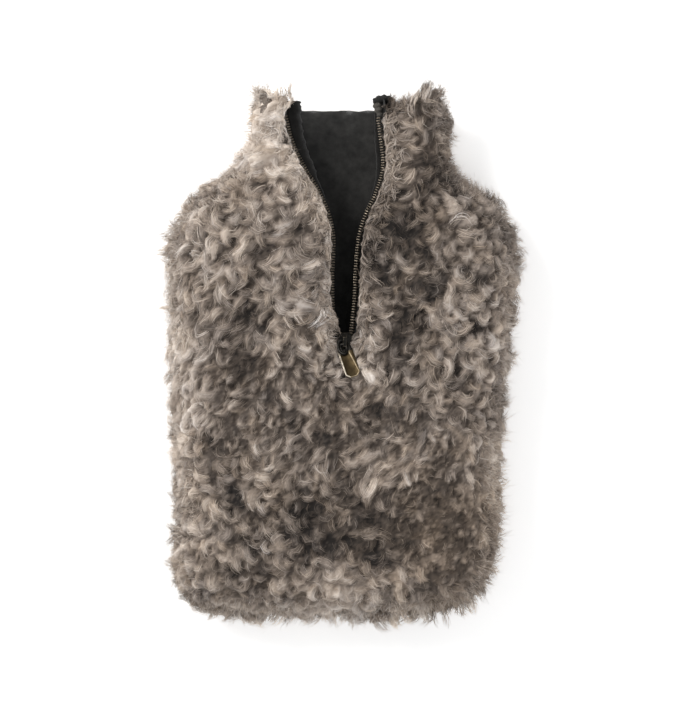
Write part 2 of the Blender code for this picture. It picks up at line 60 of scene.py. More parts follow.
# How the pile lies at places on the front: x, y, heading of the locks in
# degrees (-90 is down the cover), spread of the headings, turn along a lock,
# length, lay (0 upright, 1 flat), knob (0 wave, 1 tight curl), tone.
LIE = (
    (-53, 150, -95, 80, 60, 9, 0.2, 0.1, 0.28),
    (-50, 128, -100, 70, 60, 9, 0.3, 0.1, 0.23),
    (-40, 112, -85, 30, 50, 14, 0.8, 0.1, 0.16),
    (-101, 92, -170, 50, 80, 14, 0.7, 0.3, 0.00),
    (-84, 96, 160, 100, 170, 16, 0.8, 0.5, -0.02),
    (-56, 103, -120, 90, 160, 15, 0.8, 0.4, 0.03),
    (-28, 100, -78, 20, 30, 13, 0.8, 0.1, 0.01),
    (-110, 62, -110, 25, 50, 15, 0.75, 0.1, 0.13),
    (-88, 60, -98, 35, 60, 16, 0.8, 0.1, -0.06),
    (-56, 62, -100, 65, 110, 14, 0.8, 0.4, -0.11),
    (-25, 64, -95, 45, 80, 14, 0.8, 0.3, -0.02),
    (-36, 42, -110, 60, 100, 14, 0.85, 0.3, -0.04),
    (-20, 22, -95, 45, 80, 14, 0.85, 0.2, 0.04),
    (-78, 29, -95, 40, 70, 14, 0.8, 0.2, -0.09),
    (-112, 15, -110, 25, 40, 14, 0.75, 0.0, 0.16),
    (-102, -30, -105, 35, 60, 13, 0.75, 0.2, 0.12),
    (-68, -18, -120, 45, 40, 9, 0.1, 0.1, -0.08),
    (-35, -18, -60, 45, 40, 9, 0.1, 0.1, -0.03),
    (-55, -50, -110, 50, 50, 9, 0.2, 0.2, -0.06),
    (-108, -70, -120, 60, 90, 12, 0.7, 0.5, 0.12),
    (-28, -68, -135, 25, 30, 11, 0.75, 0.1, 0.03),
    (-75, -85, -110, 80, 120, 11, 0.7, 0.7, -0.10),
    (-102, -111, -120, 90, 150, 12, 0.7, 0.9, 0.02),
    (-88, -145, -110, 100, 170, 12, 0.7, 1.0, -0.01),
    (-48, -138, -100, 100, 170, 12, 0.7, 1.0, -0.10),
    (-28, -108, -100, 100, 150, 12, 0.7, 0.9, -0.13),
    (-8, -95, -90, 80, 60, 9.5, 0.3, 0.3, -0.20),
    (0, -166, -90, 60, 110, 12, 0.75, 0.6, 0.18),
    (-55, -170, -95, 60, 110, 12, 0.75, 0.7, 0.13),
    (52, -111, -80, 120, 20, 7, -0.35, 0.0, -0.12),
    (72, -98, -70, 120, 20, 7, -0.35, 0.0, -0.13),
    (65, -143, -80, 120, 20, 7, -0.3, 0.0, -0.09),
    (39, -158, -90, 70, 80, 10, 0.6, 0.5, 0.10),
    (25, -121, -90, 80, 80, 10, 0.6, 0.5, -0.13),
    (32, -71, -140, 25, 30, 12, 0.8, 0.1, 0.08),
    (60, -64, -130, 50, 40, 9, 0.2, 0.1, -0.04),
    (99, -85, -25, 35, 40, 10, 0.7, 0.1, 0.15),
    (104, -138, -50, 45, 50, 9, 0.6, 0.2, 0.02),
    (88, -160, -60, 45, 50, 10, 0.6, 0.2, 0.07),
    (94, -31, -70, 70, 90, 12, 0.7, 0.6, 0.00),
    (105, 15, -60, 80, 140, 13, 0.75, 0.7, 0.06),
    (80, 14, -90, 110, 190, 13, 0.8, 0.8, 0.05),
    (63, -8, -90, 80, 120, 12, 0.7, 0.6, 0.01),
    (39, -31, -90, 60, 50, 9.5, 0.2, 0.2, -0.06),
    (5, -42, -90, 50, 50, 9, 0.1, 0.1, -0.17),
    (20, -12, -80, 60, 80, 12, 0.7, 0.4, 0.05),
    (107, 62, -40, 80, 130, 12, 0.7, 0.7, 0.06),
    (79, 74, -90, 110, 180, 12, 0.75, 0.9, 0.02),
    (92, 90, -20, 80, 130, 11, 0.7, 0.8, 0.00),
    (59, 42, -90, 100, 170, 12, 0.7, 0.9, -0.11),
    (38, 29, -90, 90, 130, 11, 0.6, 0.7, -0.24),
    (20, 34, -95, 60, 110, 12, 0.75, 0.5, 0.03),
    (39, 82, -90, 80, 110, 10, 0.55, 0.6, -0.24),
    (24, 68, -100, 60, 100, 11, 0.65, 0.6, -0.13),
    (26, 92, -110, 60, 100, 11, 0.7, 0.6, -0.04),
    (34, 114, -100, 60, 100, 12, 0.75, 0.6, 0.03),
    (31, 136, -110, 50, 90, 12, 0.75, 0.4, 0.08),
    (50, 121, -80, 60, 80, 10, 0.6, 0.4, -0.15),
    (55, 149, -80, 60, 80, 11, 0.65, 0.4, -0.05),
    (40, 158, -95, 50, 90, 12, 0.7, 0.5, 0.02),
    (69, 155, -70, 35, 40, 11, 0.7, 0.1, -0.02),
    (68, 133, -70, 40, 60, 11, 0.7, 0.2, -0.06),
)
LIE_BLUR = 13.0

# Single curls that stand out, each a bent lock: x, y, heading, turn along it,
# length, radius, tone.
CURLS = (
    (63, 72, 180, 190, 16, 2.6, 0.10),
    (72, 86, 70, -130, 19, 3.2, 0.00),
    (80, 104, 200, 60, 15, 3.0, 0.10),
    (39, 142, 40, 20, 16, 2.8, 0.12),
    (47, 162, -60, 50, 13, 2.6, 0.10),
    (48, 162, 58, 20, 10, 3.0, 0.10),
    (54, 163, 62, 15, 12, 3.2, 0.12),
    (58, 164, 68, -10, 14, 3.2, 0.10),
    (64, 165, 85, 20, 11, 3.0, 0.08),
    (-44, 163, 60, -20, 13, 3.0, 0.06),
    (-38, 162, 62, -10, 12, 2.6, -0.10),
    (-50, 110, 200, 60, 20, 3.0, 0.08),
    (-79, 110, 200, 120, 18, 3.2, 0.08),
    (-40, 75, 175, -30, 13, 2.8, 0.14),
    (-29, 56, 175, 170, 19, 2.8, 0.18),
    (-98, 86, -75, 10, 22, 3.2, 0.08),
    (-101, 42, -90, 20, 17, 3.0, 0.08),
    (-27, 42, -95, 20, 16, 2.8, 0.04),
    (-22, 72, -100, 60, 13, 2.6, 0.10),
    (-36, -58, 50, 10, 15, 2.0, 0.12),
    (-29, -66, 50, 10, 14, 2.0, 0.10),
    (-22, -72, 45, 10, 14, 2.0, 0.08),
    (14, -118, 20, -50, 20, 2.6, 0.14),
    (20, -66, -160, 20, 15, 2.6, 0.18),
    (34, -73, 200, 20, 15, 2.6, 0.20),
    (47, -73, 35, 10, 15, 2.6, 0.20),
    (56, -66, 200, 20, 13, 2.6, 0.16),
    (17, 67, -100, 80, 14, 2.8, 0.14),
    (30, 68, -90, 120, 14, 2.8, 0.14),
    (73, 50, -80, 150, 18, 3.0, 0.10),
    (61, 56, -120, 120, 15, 2.8, 0.12),
    (84, 20, -100, -160, 24, 3.2, 0.08),
    (78, 6, -60, 150, 22, 3.0, 0.04),
    (90, 4, -70, 120, 20, 3.0, 0.10),
    (60, -8, -120, 90, 16, 2.8, 0.10),
    (18, 34, -90, 150, 16, 3.0, 0.14),
    (18, 12, -100, 100, 14, 3.0, 0.12),
    (26, -6, -110, 60, 16, 3.0, 0.14),
    (12, -4, -130, 40, 16, 3.0, 0.16),
)
# Round knobs that stand out: x, y, radius, tone.
KNOBS = (
    (-50, -114, 3.6, 0.22), (-81, -83, 3.2, 0.16), (-56, -96, 3.2, 0.14), (-12, -87, 3.8, 0.20),
    (-9, -98, 3.2, 0.16), (-65, -112, 3.8, 0.14), (-42, -120, 3.4, 0.14), (-80, -123, 3.4, 0.14),
    (-62, -129, 4.2, 0.06), (-70, -136, 4.0, 0.12), (-32, -110, 4.4, 0.04), (-94, -111, 4.0, 0.12),
    (-85, -99, 4.2, 0.14), (-77, -104, 3.4, 0.12), (-50, -81, 3.2, 0.14), (-64, -70, 4.0, 0.10),
    (-91, -14, 3.0, 0.16), (-38, -27, 3.2, 0.24), (-24, -35, 2.8, 0.16), (-54, -32, 2.8, 0.12),
    (-22, -51, 2.8, 0.14), (-58, -64, 3.0, 0.10), (-81, -73, 3.0, 0.10), (-17, -73, 3.0, 0.12),
    (15, -139, 4.6, 0.12), (39, -143, 3.6, 0.14), (51, -143, 3.6, 0.12), 
    (21, -162, 4.0, 0.14), (2, -165, 4.0, 0.12), (38, -164, 3.8, 0.10), (69, -161, 3.4, 0.08),
    (99, -105, 3.0, 0.08), (103, -121, 3.0, 0.08), (10, -88, 3.0, 0.12),
    (85, -79, 2.8, 0.20), (87, -60, 2.8, 0.10), (108, 64, 3.6, 0.10), (60, 104, 3.4, 0.10),
    (37, 135, 3.0, 0.12), (-99, 105, 3.4, 0.06), (-85, 109, 3.6, 0.08), (-39, 67, 2.6, 0.10),
)
# Hollows where the wool lies deep, with painted shade in them (the deepest also have shorter
# locks), and places that are only darker or paler: x, y, radius, tone.
HOLLOWS = (
    (-53, 111, 3.5, -0.34), (-30, 51, 2.8, -0.30), (-112, 101, 5.0, -0.25), (-86, -57, 5.0, -0.22),
    (28, 168, 7.0, -0.50), (-33, 170, 4.0, -0.14), (46, 92, 7.0, -0.12), (38, 80, 8.0, -0.06),
    (85, 16, 4.0, -0.20), (44, 24, 8.0, -0.14), (75, -20, 9.0, -0.10), (40, -2, 6.0, -0.12),
    (-70, -20, 14.0, -0.06), (-30, -100, 10.0, -0.06), (-50, 20, 7.0, -0.10), (-66, 46, 6.0, -0.10),
    (-62, -120, 4.5, -0.16), (-72, -145, 5.0, -0.16), (-20, -128, 7.0, -0.10), (36, -50, 9.0, -0.07),
    (66, -100, 12.0, -0.04), (-26, -8, 8.0, -0.10), (58, 118, 7.0, -0.10), (33, 120, 5.0, 0.06),
    (-58, -5, 6.0, -0.10), (98, 40, 7.0, -0.08), (-97, 0, 8.0, 0.06), (-92, -90, 7.0, 0.05),
)
BACK_LIE = (-90, 60, 90, 11, 0.85, 0.5, -0.13)
BACK_PILE_TOP = 158.0
WARM_PLACE = (62, -115, 30, 0.30)   # x, y, reach, how much warmer the wool is
SEAM_LOW, SEAM_HIGH = 6.0, 42.0           # the seam is between these heights
SEAM_IN, SEAM_DEPTH, SEAM_REACH = 5.5, 7.5, 16.0   # how deep the leather and the pile's roots are there
COLLAR_FROM, COLLAR_DEPTH = 140.0, 2.2   # and it stands up round the collar's edge
COLLAR_LEAST = 1.4          # least height of the wool's mass on the collar's edge
EDGE_BACK = (2.0, 1.5)      # how far the collar's leather edge is in from the pile, outwards and up
FRONT_SPACING, BACK_SPACING, SEAM_SPACING = 3.7, 5.6, 3.9   # between the roots of locks
STRANDS = 21
STRAND_NOISE = 0.045
BUNDLES, BUNDLE_NOISE = 5, 0.065   # a lock's strands lie in bundles, each of its own tone
FLEECE_VOXEL = (1.3, 2.4)   # mesh size of the wool's mass, front and back
FLEECE_STEPS = 8
FLEECE_GIRTH = 0.85
FLEECE_TOP = 1.25
FLEECE_NOISE = 0.05
FLEECE_ROUGH = 0.22         # unevenness of its surface
FLEECE_DARKER = 0.03
ACCENT_STRENGTH = (0.75, 0.5)   # of curls and knobs
ABOVE = 64.0                # the accents' roots are the skin's nearest points to this height
RIM_FIBRES, RIM_LENGTH = 13500, 10.5
TUFTS, TUFT_DEPTH = 760, 3.0   # short locks on the wool's own surface at the slit and collar
STRAY_SHARE = 0.10
NECK_DARKER = 0.8           # what the neck's low sides lose of the tone given in LIE
CLUMPS = (8.0, 0.22, 0.05)   # locks stand together: size, how much longer, how much paler (painted light on the clumps, painted shade between)
LEAST_HEIGHT = 1.2          # a strand's tip stays this far over the skin
FLOOR_ROOM = 0.2            # no strand is lower than this

# The zip: how far the wool keeps from each chain's middle line, at heights up the
# cover, and how softly it is combed off. Below zero the wool hangs over the chain.
BARE_LEFT = ((14.0, -1.2), (19.0, -1.8), (26.0, -1.4), (31.0, 1.0), (40.0, 1.5), (156.0, 1.3),
             (163.0, -3.0), (172.0, -4.0))
BARE_RIGHT = ((14.0, 3.4), (60.0, 3.2), (95.0, 2.4), (120.0, 2.0), (150.0, 2.8), (157.0, 3.2),
              (162.0, 5.0), (166.0, 7.0), (172.0, 8.0))
COMB_SOFT = 0.6
EDGE_WAVES = ((1.25, 0.35, 0.0), (0.53, 0.35, 2.0))   # unevenness of its line: turn per mm, size, start
HANG_REACH = 8.0            # how far back from the leather's edge the wool leans over it
HANG_LIFT = 0.12
HANG_MOST = 14.0
HANG_TOP = (190.0, 160.0)    # left and right, it ends at these heights up the cover
SLIT_END = -5.0
SLIDER_X, SLIDER_TOP, SLIDER_HALF = 1.7, 14.0, 4.2
PULL_EYE = (1.9, 5.4)
PULL_REACH, PULL_HALF = 23.0, 5.0
EDGE_REACH = 9.0            # locks this near a chain lean over its tape
TOOTH_PITCH = 1.77
BAIL = (0.3, 4.0, 2.8, 4.6, 1.2)   # x, y, half width, half length along the pull, radius of the wire
PULL_BLACK = 4.2            # how far below its eye the pull is black
PULL_WIDER, PULL_SHIFT = 0.09, 1.1

# The leather's inner side that shows between a chain and the neck's opening: its
# width at heights up the cover.
FOLD_LEFT = ((97.0, 0.3), (104.0, 1.6), (115.0, 3.2), (122.0, 6.0), (142.0, 8.0), (160.0, 9.3), (167.5, 9.3))
FOLD_RIGHT = ((95.0, 0.3), (110.0, 2.0), (125.0, 3.5), (140.0, 3.0), (155.0, 1.2), (166.0, 0.4))
# The right tape's upper end, turned over and sewn down: x, y, lift, radius.
TAPE_END = ((21.2, 166.6, -0.2, 1.9), (24.0, 168.0, 0.6, 2.4), (28.0, 168.6, 0.9, 2.6), (31.5, 168.2, 0.2, 2.2),
            (34.5, 167.4, -1.4, 1.1))
# The lower part of that turned end, in a paler copy of the tape's colour as painted light: x, y, lift, radius.
TAPE_UNDER = ((25.4, 157.0, -0.6, 1.7), (24.3, 160.5, -0.3, 2.5), (23.3, 164.0, -0.4, 2.7), (23.0, 167.0, -1.0, 2.4))

# Grades of the wool from the skin to the palest tips, in linear colour.
GRADES = (
    (0.00, (0.010, 0.008, 0.007)),
    (0.25, (0.085, 0.068, 0.056)),
    (0.50, (0.270, 0.225, 0.189)),
    (0.75, (0.530, 0.462, 0.402)),
    (1.00, (0.820, 0.755, 0.690)),
)


def pull_plane():
    """Height just under the pull, as a, b, c of a + b x + c y, and the way that it points."""
    points = np.array([v.co[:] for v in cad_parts["zip_pull"].data.vertices]) / MM
    flat = np.column_stack([np.ones(len(points)), points[:, 0], points[:, 1]])
    fit = np.linalg.lstsq(flat, points[:, 2], rcond=None)[0]
    fit[0] -= 1.1
    end = points[points[:, 1] < points[:, 1].min() + 4.0].mean(0)
    way = end[:2] - np.array(PULL_EYE)
    return fit, way / np.linalg.norm(way)


def unit(v):
    return v / np.maximum(np.linalg.norm(v, axis=-1, keepdims=True), 1e-9)


def eased(x):
    x = np.clip(x, 0.0, 1.0)
    return x * x * (3.0 - 2.0 * x)


# ---------------------------------------------------------------- materials

def principled(name, colour, roughness, metallic=0.0, **sockets):
    made = bpy.data.materials.new(name)
    made.use_nodes = True
    shader = made.node_tree.nodes["Principled BSDF"]
    shader.inputs["Base Color"].default_value = (*colour, 1.0)
    shader.inputs["Roughness"].default_value = roughness
    shader.inputs["Metallic"].default_value = metallic
    for key, value in sockets.items():
        shader.inputs[key.replace("_", " ")].default_value = value
    return made


class Nodes:
    """Short hand for building a material's tree."""

    def __init__(self, made):
        self.tree = made.node_tree
        self.shader = self.tree.nodes["Principled BSDF"]

    def add(self, kind, **values):
        node = self.tree.nodes.new(kind)
        for key, value in values.items():
            if key in node.inputs:
                node.inputs[key].default_value = value
            else:
                setattr(node, key, value)
        return node

    def link(self, a, b):
        self.tree.links.new(a, b)

    def noise(self, scale, detail=3.0, roughness=0.55, vector=None):
        node = self.add("ShaderNodeTexNoise")
        node.inputs["Scale"].default_value = scale
        node.inputs["Detail"].default_value = detail
        node.inputs["Roughness"].default_value = roughness
        self.link(vector or self.place(), node.inputs["Vector"])
        return node.outputs["Fac"]

    def place(self):
        if not hasattr(self, "coords"):
            self.coords = self.add("ShaderNodeTexCoord").outputs["Object"]
        return self.coords

    def ramp(self, value, stops):
        node = self.add("ShaderNodeValToRGB")
        band = node.color_ramp
        while len(band.elements) < len(stops):
            band.elements.new(0.5)
        for element, (place, colour) in zip(band.elements, stops):
            element.position = place
            element.color = (*colour, 1.0)
        self.link(value, node.inputs["Fac"])
        return node.outputs["Color"]

    def bump(self, height, distance, strength=1.0):
        node = self.add("ShaderNodeBump")
        node.inputs["Distance"].default_value = distance
        node.inputs["Strength"].default_value = strength
        self.link(height, node.inputs["Height"])
        self.link(node.outputs["Normal"], self.shader.inputs["Normal"])

    def base(self, colour):
        self.link(colour, self.shader.inputs["Base Color"])


def wool_material():
    made = principled("wool", (0.2, 0.164, 0.136), 0.82)
    made.node_tree.nodes["Principled BSDF"].inputs["Specular IOR Level"].default_value = 0.25
    nodes = Nodes(made)
    uv = nodes.add("ShaderNodeUVMap", uv_map="OFBake")
    parts = nodes.add("ShaderNodeSeparateXYZ")
    nodes.link(uv.outputs["UV"], parts.inputs["Vector"])
    grade = nodes.ramp(parts.outputs["X"], GRADES)
    tint = nodes.add("ShaderNodeMix", data_type="RGBA", blend_type="MULTIPLY")
    tint.inputs["Factor"].default_value = 1.0
    nodes.link(grade, tint.inputs["A"])
    warm = nodes.ramp(parts.outputs["Y"], ((0.0, (0.94, 0.99, 1.08)), (1.0, (1.07, 0.995, 0.90))))
    nodes.link(warm, tint.inputs["B"])
    nodes.base(tint.outputs["Result"])
    return made


def skin_material():
    made = principled("wool_root", (0.15, 0.12, 0.10), 0.95)
    nodes = Nodes(made)
    blotch = nodes.noise(420.0, 4.0)
    nodes.base(nodes.ramp(blotch, ((0.3, (0.07, 0.056, 0.047)), (0.75, (0.24, 0.20, 0.168)))))
    nodes.bump(nodes.noise(900.0, 3.0), 0.0008)
    return made


def suede_material(name, dark, pale, sheen):
    made = principled(name, dark, 0.9)
    shader = made.node_tree.nodes["Principled BSDF"]
    shader.inputs["Sheen Weight"].default_value = sheen
    shader.inputs["Sheen Roughness"].default_value = 0.4
    shader.inputs["Specular IOR Level"].default_value = 0.2
    nodes = Nodes(made)
    nap = nodes.noise(160.0, 4.0)
    nodes.base(nodes.ramp(nap, ((0.3, dark), (0.75, pale))))
    nodes.bump(nodes.noise(1500.0, 3.0), 0.0003)
    return made


def tape_material(name, dark, pale):
    made = principled(name, dark, 0.8)
    nodes = Nodes(made)
    weave = nodes.add("ShaderNodeTexWave", wave_type="BANDS", bands_direction="DIAGONAL")
    weave.inputs["Scale"].default_value = 700.0
    weave.inputs["Distortion"].default_value = 1.0
    nodes.link(nodes.place(), weave.inputs["Vector"])
    nodes.base(nodes.ramp(weave.outputs["Fac"], ((0.0, dark), (1.0, pale))))
    nodes.bump(weave.outputs["Fac"], 0.0003)
    return made


def brass_material(name, dark, bright, roughness, mottle):
    made = principled(name, bright, roughness, 1.0)
    nodes = Nodes(made)
    spots = nodes.noise(mottle, 4.0)
    nodes.base(nodes.ramp(spots, ((0.32, dark), (0.68, bright))))
    rough = nodes.add("ShaderNodeMapRange")
    rough.inputs["To Min"].default_value = roughness * 0.75
    rough.inputs["To Max"].default_value = roughness * 1.35
    nodes.link(nodes.noise(mottle * 2.2), rough.inputs["Value"])
    nodes.link(rough.outputs["Result"], nodes.shader.inputs["Roughness"])
    nodes.bump(nodes.noise(mottle * 6.0), 0.00006)
    return made


WOOL = wool_material()
SKIN = skin_material()
SUEDE = suede_material("suede", (0.020, 0.0195, 0.019), (0.046, 0.045, 0.043), 0.35)
SUEDE_EDGE = suede_material("suede_edge", (0.006, 0.0056, 0.0052), (0.016, 0.0152, 0.0142), 0.1)
TAPE = tape_material("woven_tape", (0.004, 0.0038, 0.0036), (0.022, 0.021, 0.02))
# a paler copy of the tape's colour: painted light on the lit part of the right tape's turned end
TAPE_PAINTED_LIT = tape_material("tape_painted_lit", (0.03, 0.027, 0.024), (0.17, 0.155, 0.135))


# ---------------------------------------------------------------- skin

class Panel:
    """A CAD panel as arrays: its welded mesh, and which of it carries pile."""

    def __init__(self, name):
        bm = bmesh.new()
        bm.from_mesh(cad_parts[name].data)
        bmesh.ops.remove_doubles(bm, verts=bm.verts, dist=0.00002)
        for _ in range(6):
            bmesh.ops.triangulate(bm, faces=bm.faces)
            coarse = [e for e in bm.edges if e.calc_length() > LONGEST_EDGE * MM]
            if not coarse:
                break
            bmesh.ops.subdivide_edges(bm, edges=coarse, cuts=1)
        bmesh.ops.triangulate(bm, faces=bm.faces)
        bm.normal_update()
        self.name = name
        self.points = np.array([v.co[:] for v in bm.verts]) / MM
        self.faces = np.array([[v.index for v in f.verts] for f in bm.faces])
        self.edges = np.array([[v.index for v in e.verts] for e in bm.edges])
        self.tree = BVHTree.FromBMesh(bm)
        bm.free()
        self.normals, self.face_normals, _ = self.measure(self.points)
        middle = self.points[self.faces].mean(1)
        core = np.stack([np.zeros(len(middle)),
                         np.clip(middle[:, 1], -130, 150),
                         np.full(len(middle), 26.0)], 1)
        reach = ((middle - core) * self.face_normals).sum(1)
        looks_out = self.face_normals[:, 2] * (1.0 if name == "front_panel" else -1.0)
        self.outer = (reach > 3.0) & (looks_out > -0.5) | (looks_out > 0.25)
        self.outer &= (middle[:, 1] < COLLAR_FROM) | (looks_out > -0.25)
        count = np.zeros(len(self.points))
        outer = np.zeros(len(self.points))
        for corner in range(3):
            np.add.at(count, self.faces[:, corner], 1)
            np.add.at(outer, self.faces[:, corner], self.outer)
        self.free = outer == count
        self.touched = outer > 0

    def measure(self, points):
        a, b, c = (points[self.faces[:, i]] for i in range(3))
        cross = np.cross(b - a, c - a)
        normals = np.zeros_like(points)
        for corner in range(3):
            np.add.at(normals, self.faces[:, corner], cross)
        return unit(normals), unit(cross), np.linalg.norm(cross, axis=1) / 2

    def blurred(self, values, rounds, only):
        """values, averaged over the neighbours of each vertex in only."""
        values = values.copy()
        degree = np.zeros(len(values))
        np.add.at(degree, self.edges.ravel(), 1)
        for _ in range(rounds):
            total = np.zeros_like(values)
            np.add.at(total, self.edges[:, 0], values[self.edges[:, 1]])
            np.add.at(total, self.edges[:, 1], values[self.edges[:, 0]])
            mean = total / (degree[:, None] if values.ndim > 1 else degree)
            values[only] = 0.5 * values[only] + 0.5 * mean[only]
        return values

    def make_skin(self):
        smooth = self.blurred(self.points, 8, self.free)
        normals, _, _ = self.measure(smooth)
        wall = np.full(len(smooth), 20.0)
        for i in np.flatnonzero(self.touched):
            n = Vector(normals[i])
            start = Vector(self.points[i]) * MM - n * 0.0008
            hit = self.tree.ray_cast(start, -n, 0.03)
            if hit[0] is not None:
                wall[i] = hit[3] / MM
        depth = np.minimum(PILE_DEPTH, PILE_SHARE * wall)
        depth[~self.touched] = 0.0
        depth = self.blurred(depth, 4, self.touched)
        depth = np.where(self.free, depth, np.minimum(depth, 2.0))
        self.depth = depth
        self.skin = np.where(self.touched[:, None], smooth - normals * depth[:, None], self.points)
        looks = np.zeros_like(self.points)
        for corner in range(3):
            np.add.at(looks, self.faces[self.outer, corner], self.face_normals[self.outer])
        looks = unit(looks)
        border = self.touched & ~self.free
        z = self.points[:, 2]
        seam = border & (z > SEAM_LOW) & (z < np.where(self.points[:, 1] > 110, 33.0, SEAM_HIGH))
        seam &= (abs(looks[:, 2]) < 0.9) & (self.points[:, 1] < 158.0)
        level = unit(looks * [1.0, 1.0, 0.0])
        self.skin[seam] = self.points[seam] - level[seam] * SEAM_IN
        self.drawn = seam.copy()
        self.draw_in(np.flatnonzero(seam), level)
        edge = border & ~seam & (self.points[:, 1] > 158.0) & (self.name == "front_panel")
        self.skin[edge] = self.points[edge] - looks[edge] * EDGE_BACK[0] - [0.0, EDGE_BACK[1], 0.0]
        self.skin[:, 2] = np.maximum(self.skin[:, 2], 0.4)
        self.skin_normals, _, self.areas = self.measure(self.skin)

    def draw_in(self, seam, level):
        """The rest of the edge faces, drawn in behind the seam's border."""
        near = KDTree(len(seam))
        for i in seam:
            near.insert(self.points[i], i)
        near.balance()
        z = self.points[:, 2]
        for i in np.flatnonzero(~self.touched & (z > SEAM_LOW) & (z < SEAM_HIGH)):
            place, j, far = near.find(self.points[i])
            over = (self.points[i] - np.array(place[:])) @ level[j] + SEAM_IN
            if far < SEAM_REACH and over > 0:
                self.skin[i] = self.points[i] - level[j] * over
                self.drawn[i] = True

    def skin_object(self, name):
        mesh = bpy.data.meshes.new(name)
        mesh.from_pydata((self.skin * MM).tolist(), [], self.faces.tolist())
        mesh.materials.append(SUEDE)
        mesh.materials.append(SKIN)
        cut_edge = (self.face_normals[:, 1] > 0.5) & (self.points[self.faces].mean(1)[:, 1] > COLLAR_FROM)
        woolly = self.outer | cut_edge | self.drawn[self.faces].any(1)
        mesh.polygons.foreach_set("material_index", woolly.astype(np.int32))
        mesh.polygons.foreach_set("use_smooth", np.ones(len(self.faces), bool))
        obj = bpy.data.objects.new(name, mesh)
        bpy.context.scene.collection.objects.link(obj)
        return obj

    def scatter(self, rng, number, keep=None):
        """number random points on the skin under the pile: place, normal, depth."""
        use = self.outer.copy()
        weight = np.where(use, self.areas, 0.0)
        if keep is not None:
            weight = weight * keep(self.skin[self.faces].mean(1), self.face_normals)
        face = rng.choice(len(weight), number, p=weight / weight.sum())
        u, v = rng.random(number), rng.random(number)
        flip = u + v > 1
        u[flip], v[flip] = 1 - u[flip], 1 - v[flip]
        share = np.stack([1 - u - v, u, v], 1)[:, :, None]
        corner = self.faces[face]
        place = (self.skin[corner] * share).sum(1)
        normal = unit((self.skin_normals[corner] * share).sum(1))
        depth = (self.depth[corner] * share[:, :, 0]).sum(1)
        return place, normal, depth


def spaced(rng, found, least):
    """The found points that stay at least this far apart, taken in turn."""
    place = found[0]
    cells = {}
    kept = []
    for i, p in enumerate(place):
        key = tuple((p // least).astype(int))
        near = (cells.get((key[0] + a, key[1] + b, key[2] + c), ())
                for a in (-1, 0, 1) for b in (-1, 0, 1) for c in (-1, 0, 1))
        if all(((place[j] - p) ** 2).sum() > least * least for group in near for j in group):
            cells.setdefault(key, []).append(i)
            kept.append(i)
    return tuple(values[kept] for values in found)


# ---------------------------------------------------------------- wool

def lie_at(place, front):
    """Columns of LIE at each place: heading vector, spread, turn, length, lay, knob, tone."""
    table = np.array(LIE, float)
    d2 = ((place[:, None, :2] - table[None, :, :2]) ** 2).sum(-1)
    weight = np.exp(-d2 / (2 * LIE_BLUR ** 2)) + 1e-6 / (1 + d2)
    weight /= weight.sum(1, keepdims=True)
    angle = np.radians(table[:, 2])
    heading = unit(np.stack([weight @ np.cos(angle), weight @ np.sin(angle)], 1))
    rest = weight @ table[:, 3:]
    back = np.array(BACK_LIE, float)
    heading = np.where(front[:, None], heading, [[0.0, -1.0]])
    rest = np.where(front[:, None], rest, back[1:])
    return heading, rest.T


def strip_mesh(name, centre, across, normal, width, shade, warm):
    """One mesh of ribbons that end in a point. centre is strands by points by 3."""
    strands, points, _ = centre.shape
    each = 2 * points - 1
    half = across * (width / 2)[:, :, None]
    sides = np.stack([centre - half, centre + half], 2).reshape(strands, 2 * points, 3)
    sides[:, -2] = centre[:, -1]
    start = (np.arange(strands) * each)[:, None, None]
    row = (np.arange(points - 2) * 2)[None, :, None]
    quads = (start + row + np.array([0, 1, 3, 2])[None, None, :]).reshape(-1, 4)
    tips = start[:, 0] + np.array([each - 3, each - 2, each - 1])[None, :]
    corners = np.concatenate([quads.ravel(), tips.ravel()]).astype(np.int32)
    first = np.concatenate([np.arange(len(quads)) * 4, 4 * len(quads) + 3 * np.arange(strands)])
    mesh = bpy.data.meshes.new(name)
    mesh.vertices.add(strands * each)
    mesh.vertices.foreach_set("co", (sides[:, :each] * MM).astype(np.float32).ravel())
    mesh.loops.add(len(corners))
    mesh.loops.foreach_set("vertex_index", corners)
    mesh.polygons.add(len(first))
    mesh.polygons.foreach_set("loop_start", first.astype(np.int32))
    mesh.update(calc_edges=True)
    mesh.polygons.foreach_set("use_smooth", np.ones(len(first), bool))
    u = np.repeat(shade, 2, axis=1)[:, :each]
    v = warm[:, None] + np.tile([-0.004, 0.004], points)[None, :each]
    uv = np.stack([np.clip(u, 0.01, 0.99), np.clip(v, 0.01, 0.99)], -1).reshape(-1, 2)
    layer = mesh.uv_layers.new(name="OFBake")
    layer.data.foreach_set("uv", uv[corners].astype(np.float32).ravel())
    facing = np.repeat(normal, 2, axis=1)[:, :each].reshape(-1, 3)
    held = mesh.attributes.new("custom_normal", "FLOAT_VECTOR", "POINT")
    held.data.foreach_set("vector", facing.astype(np.float32).ravel())
    mesh.materials.append(WOOL)
    obj = bpy.data.objects.new(name, mesh)
    bpy.context.scene.collection.objects.link(obj)
    return obj


def frames(normal, heading):
    """Tangent along the heading, and the one across it, in the skin's plane."""
    flow = np.concatenate([heading, np.full((len(heading), 1), -0.12)], 1)
    along = unit(flow - (flow * normal).sum(1, keepdims=True) * normal)
    return along, np.cross(normal, along)


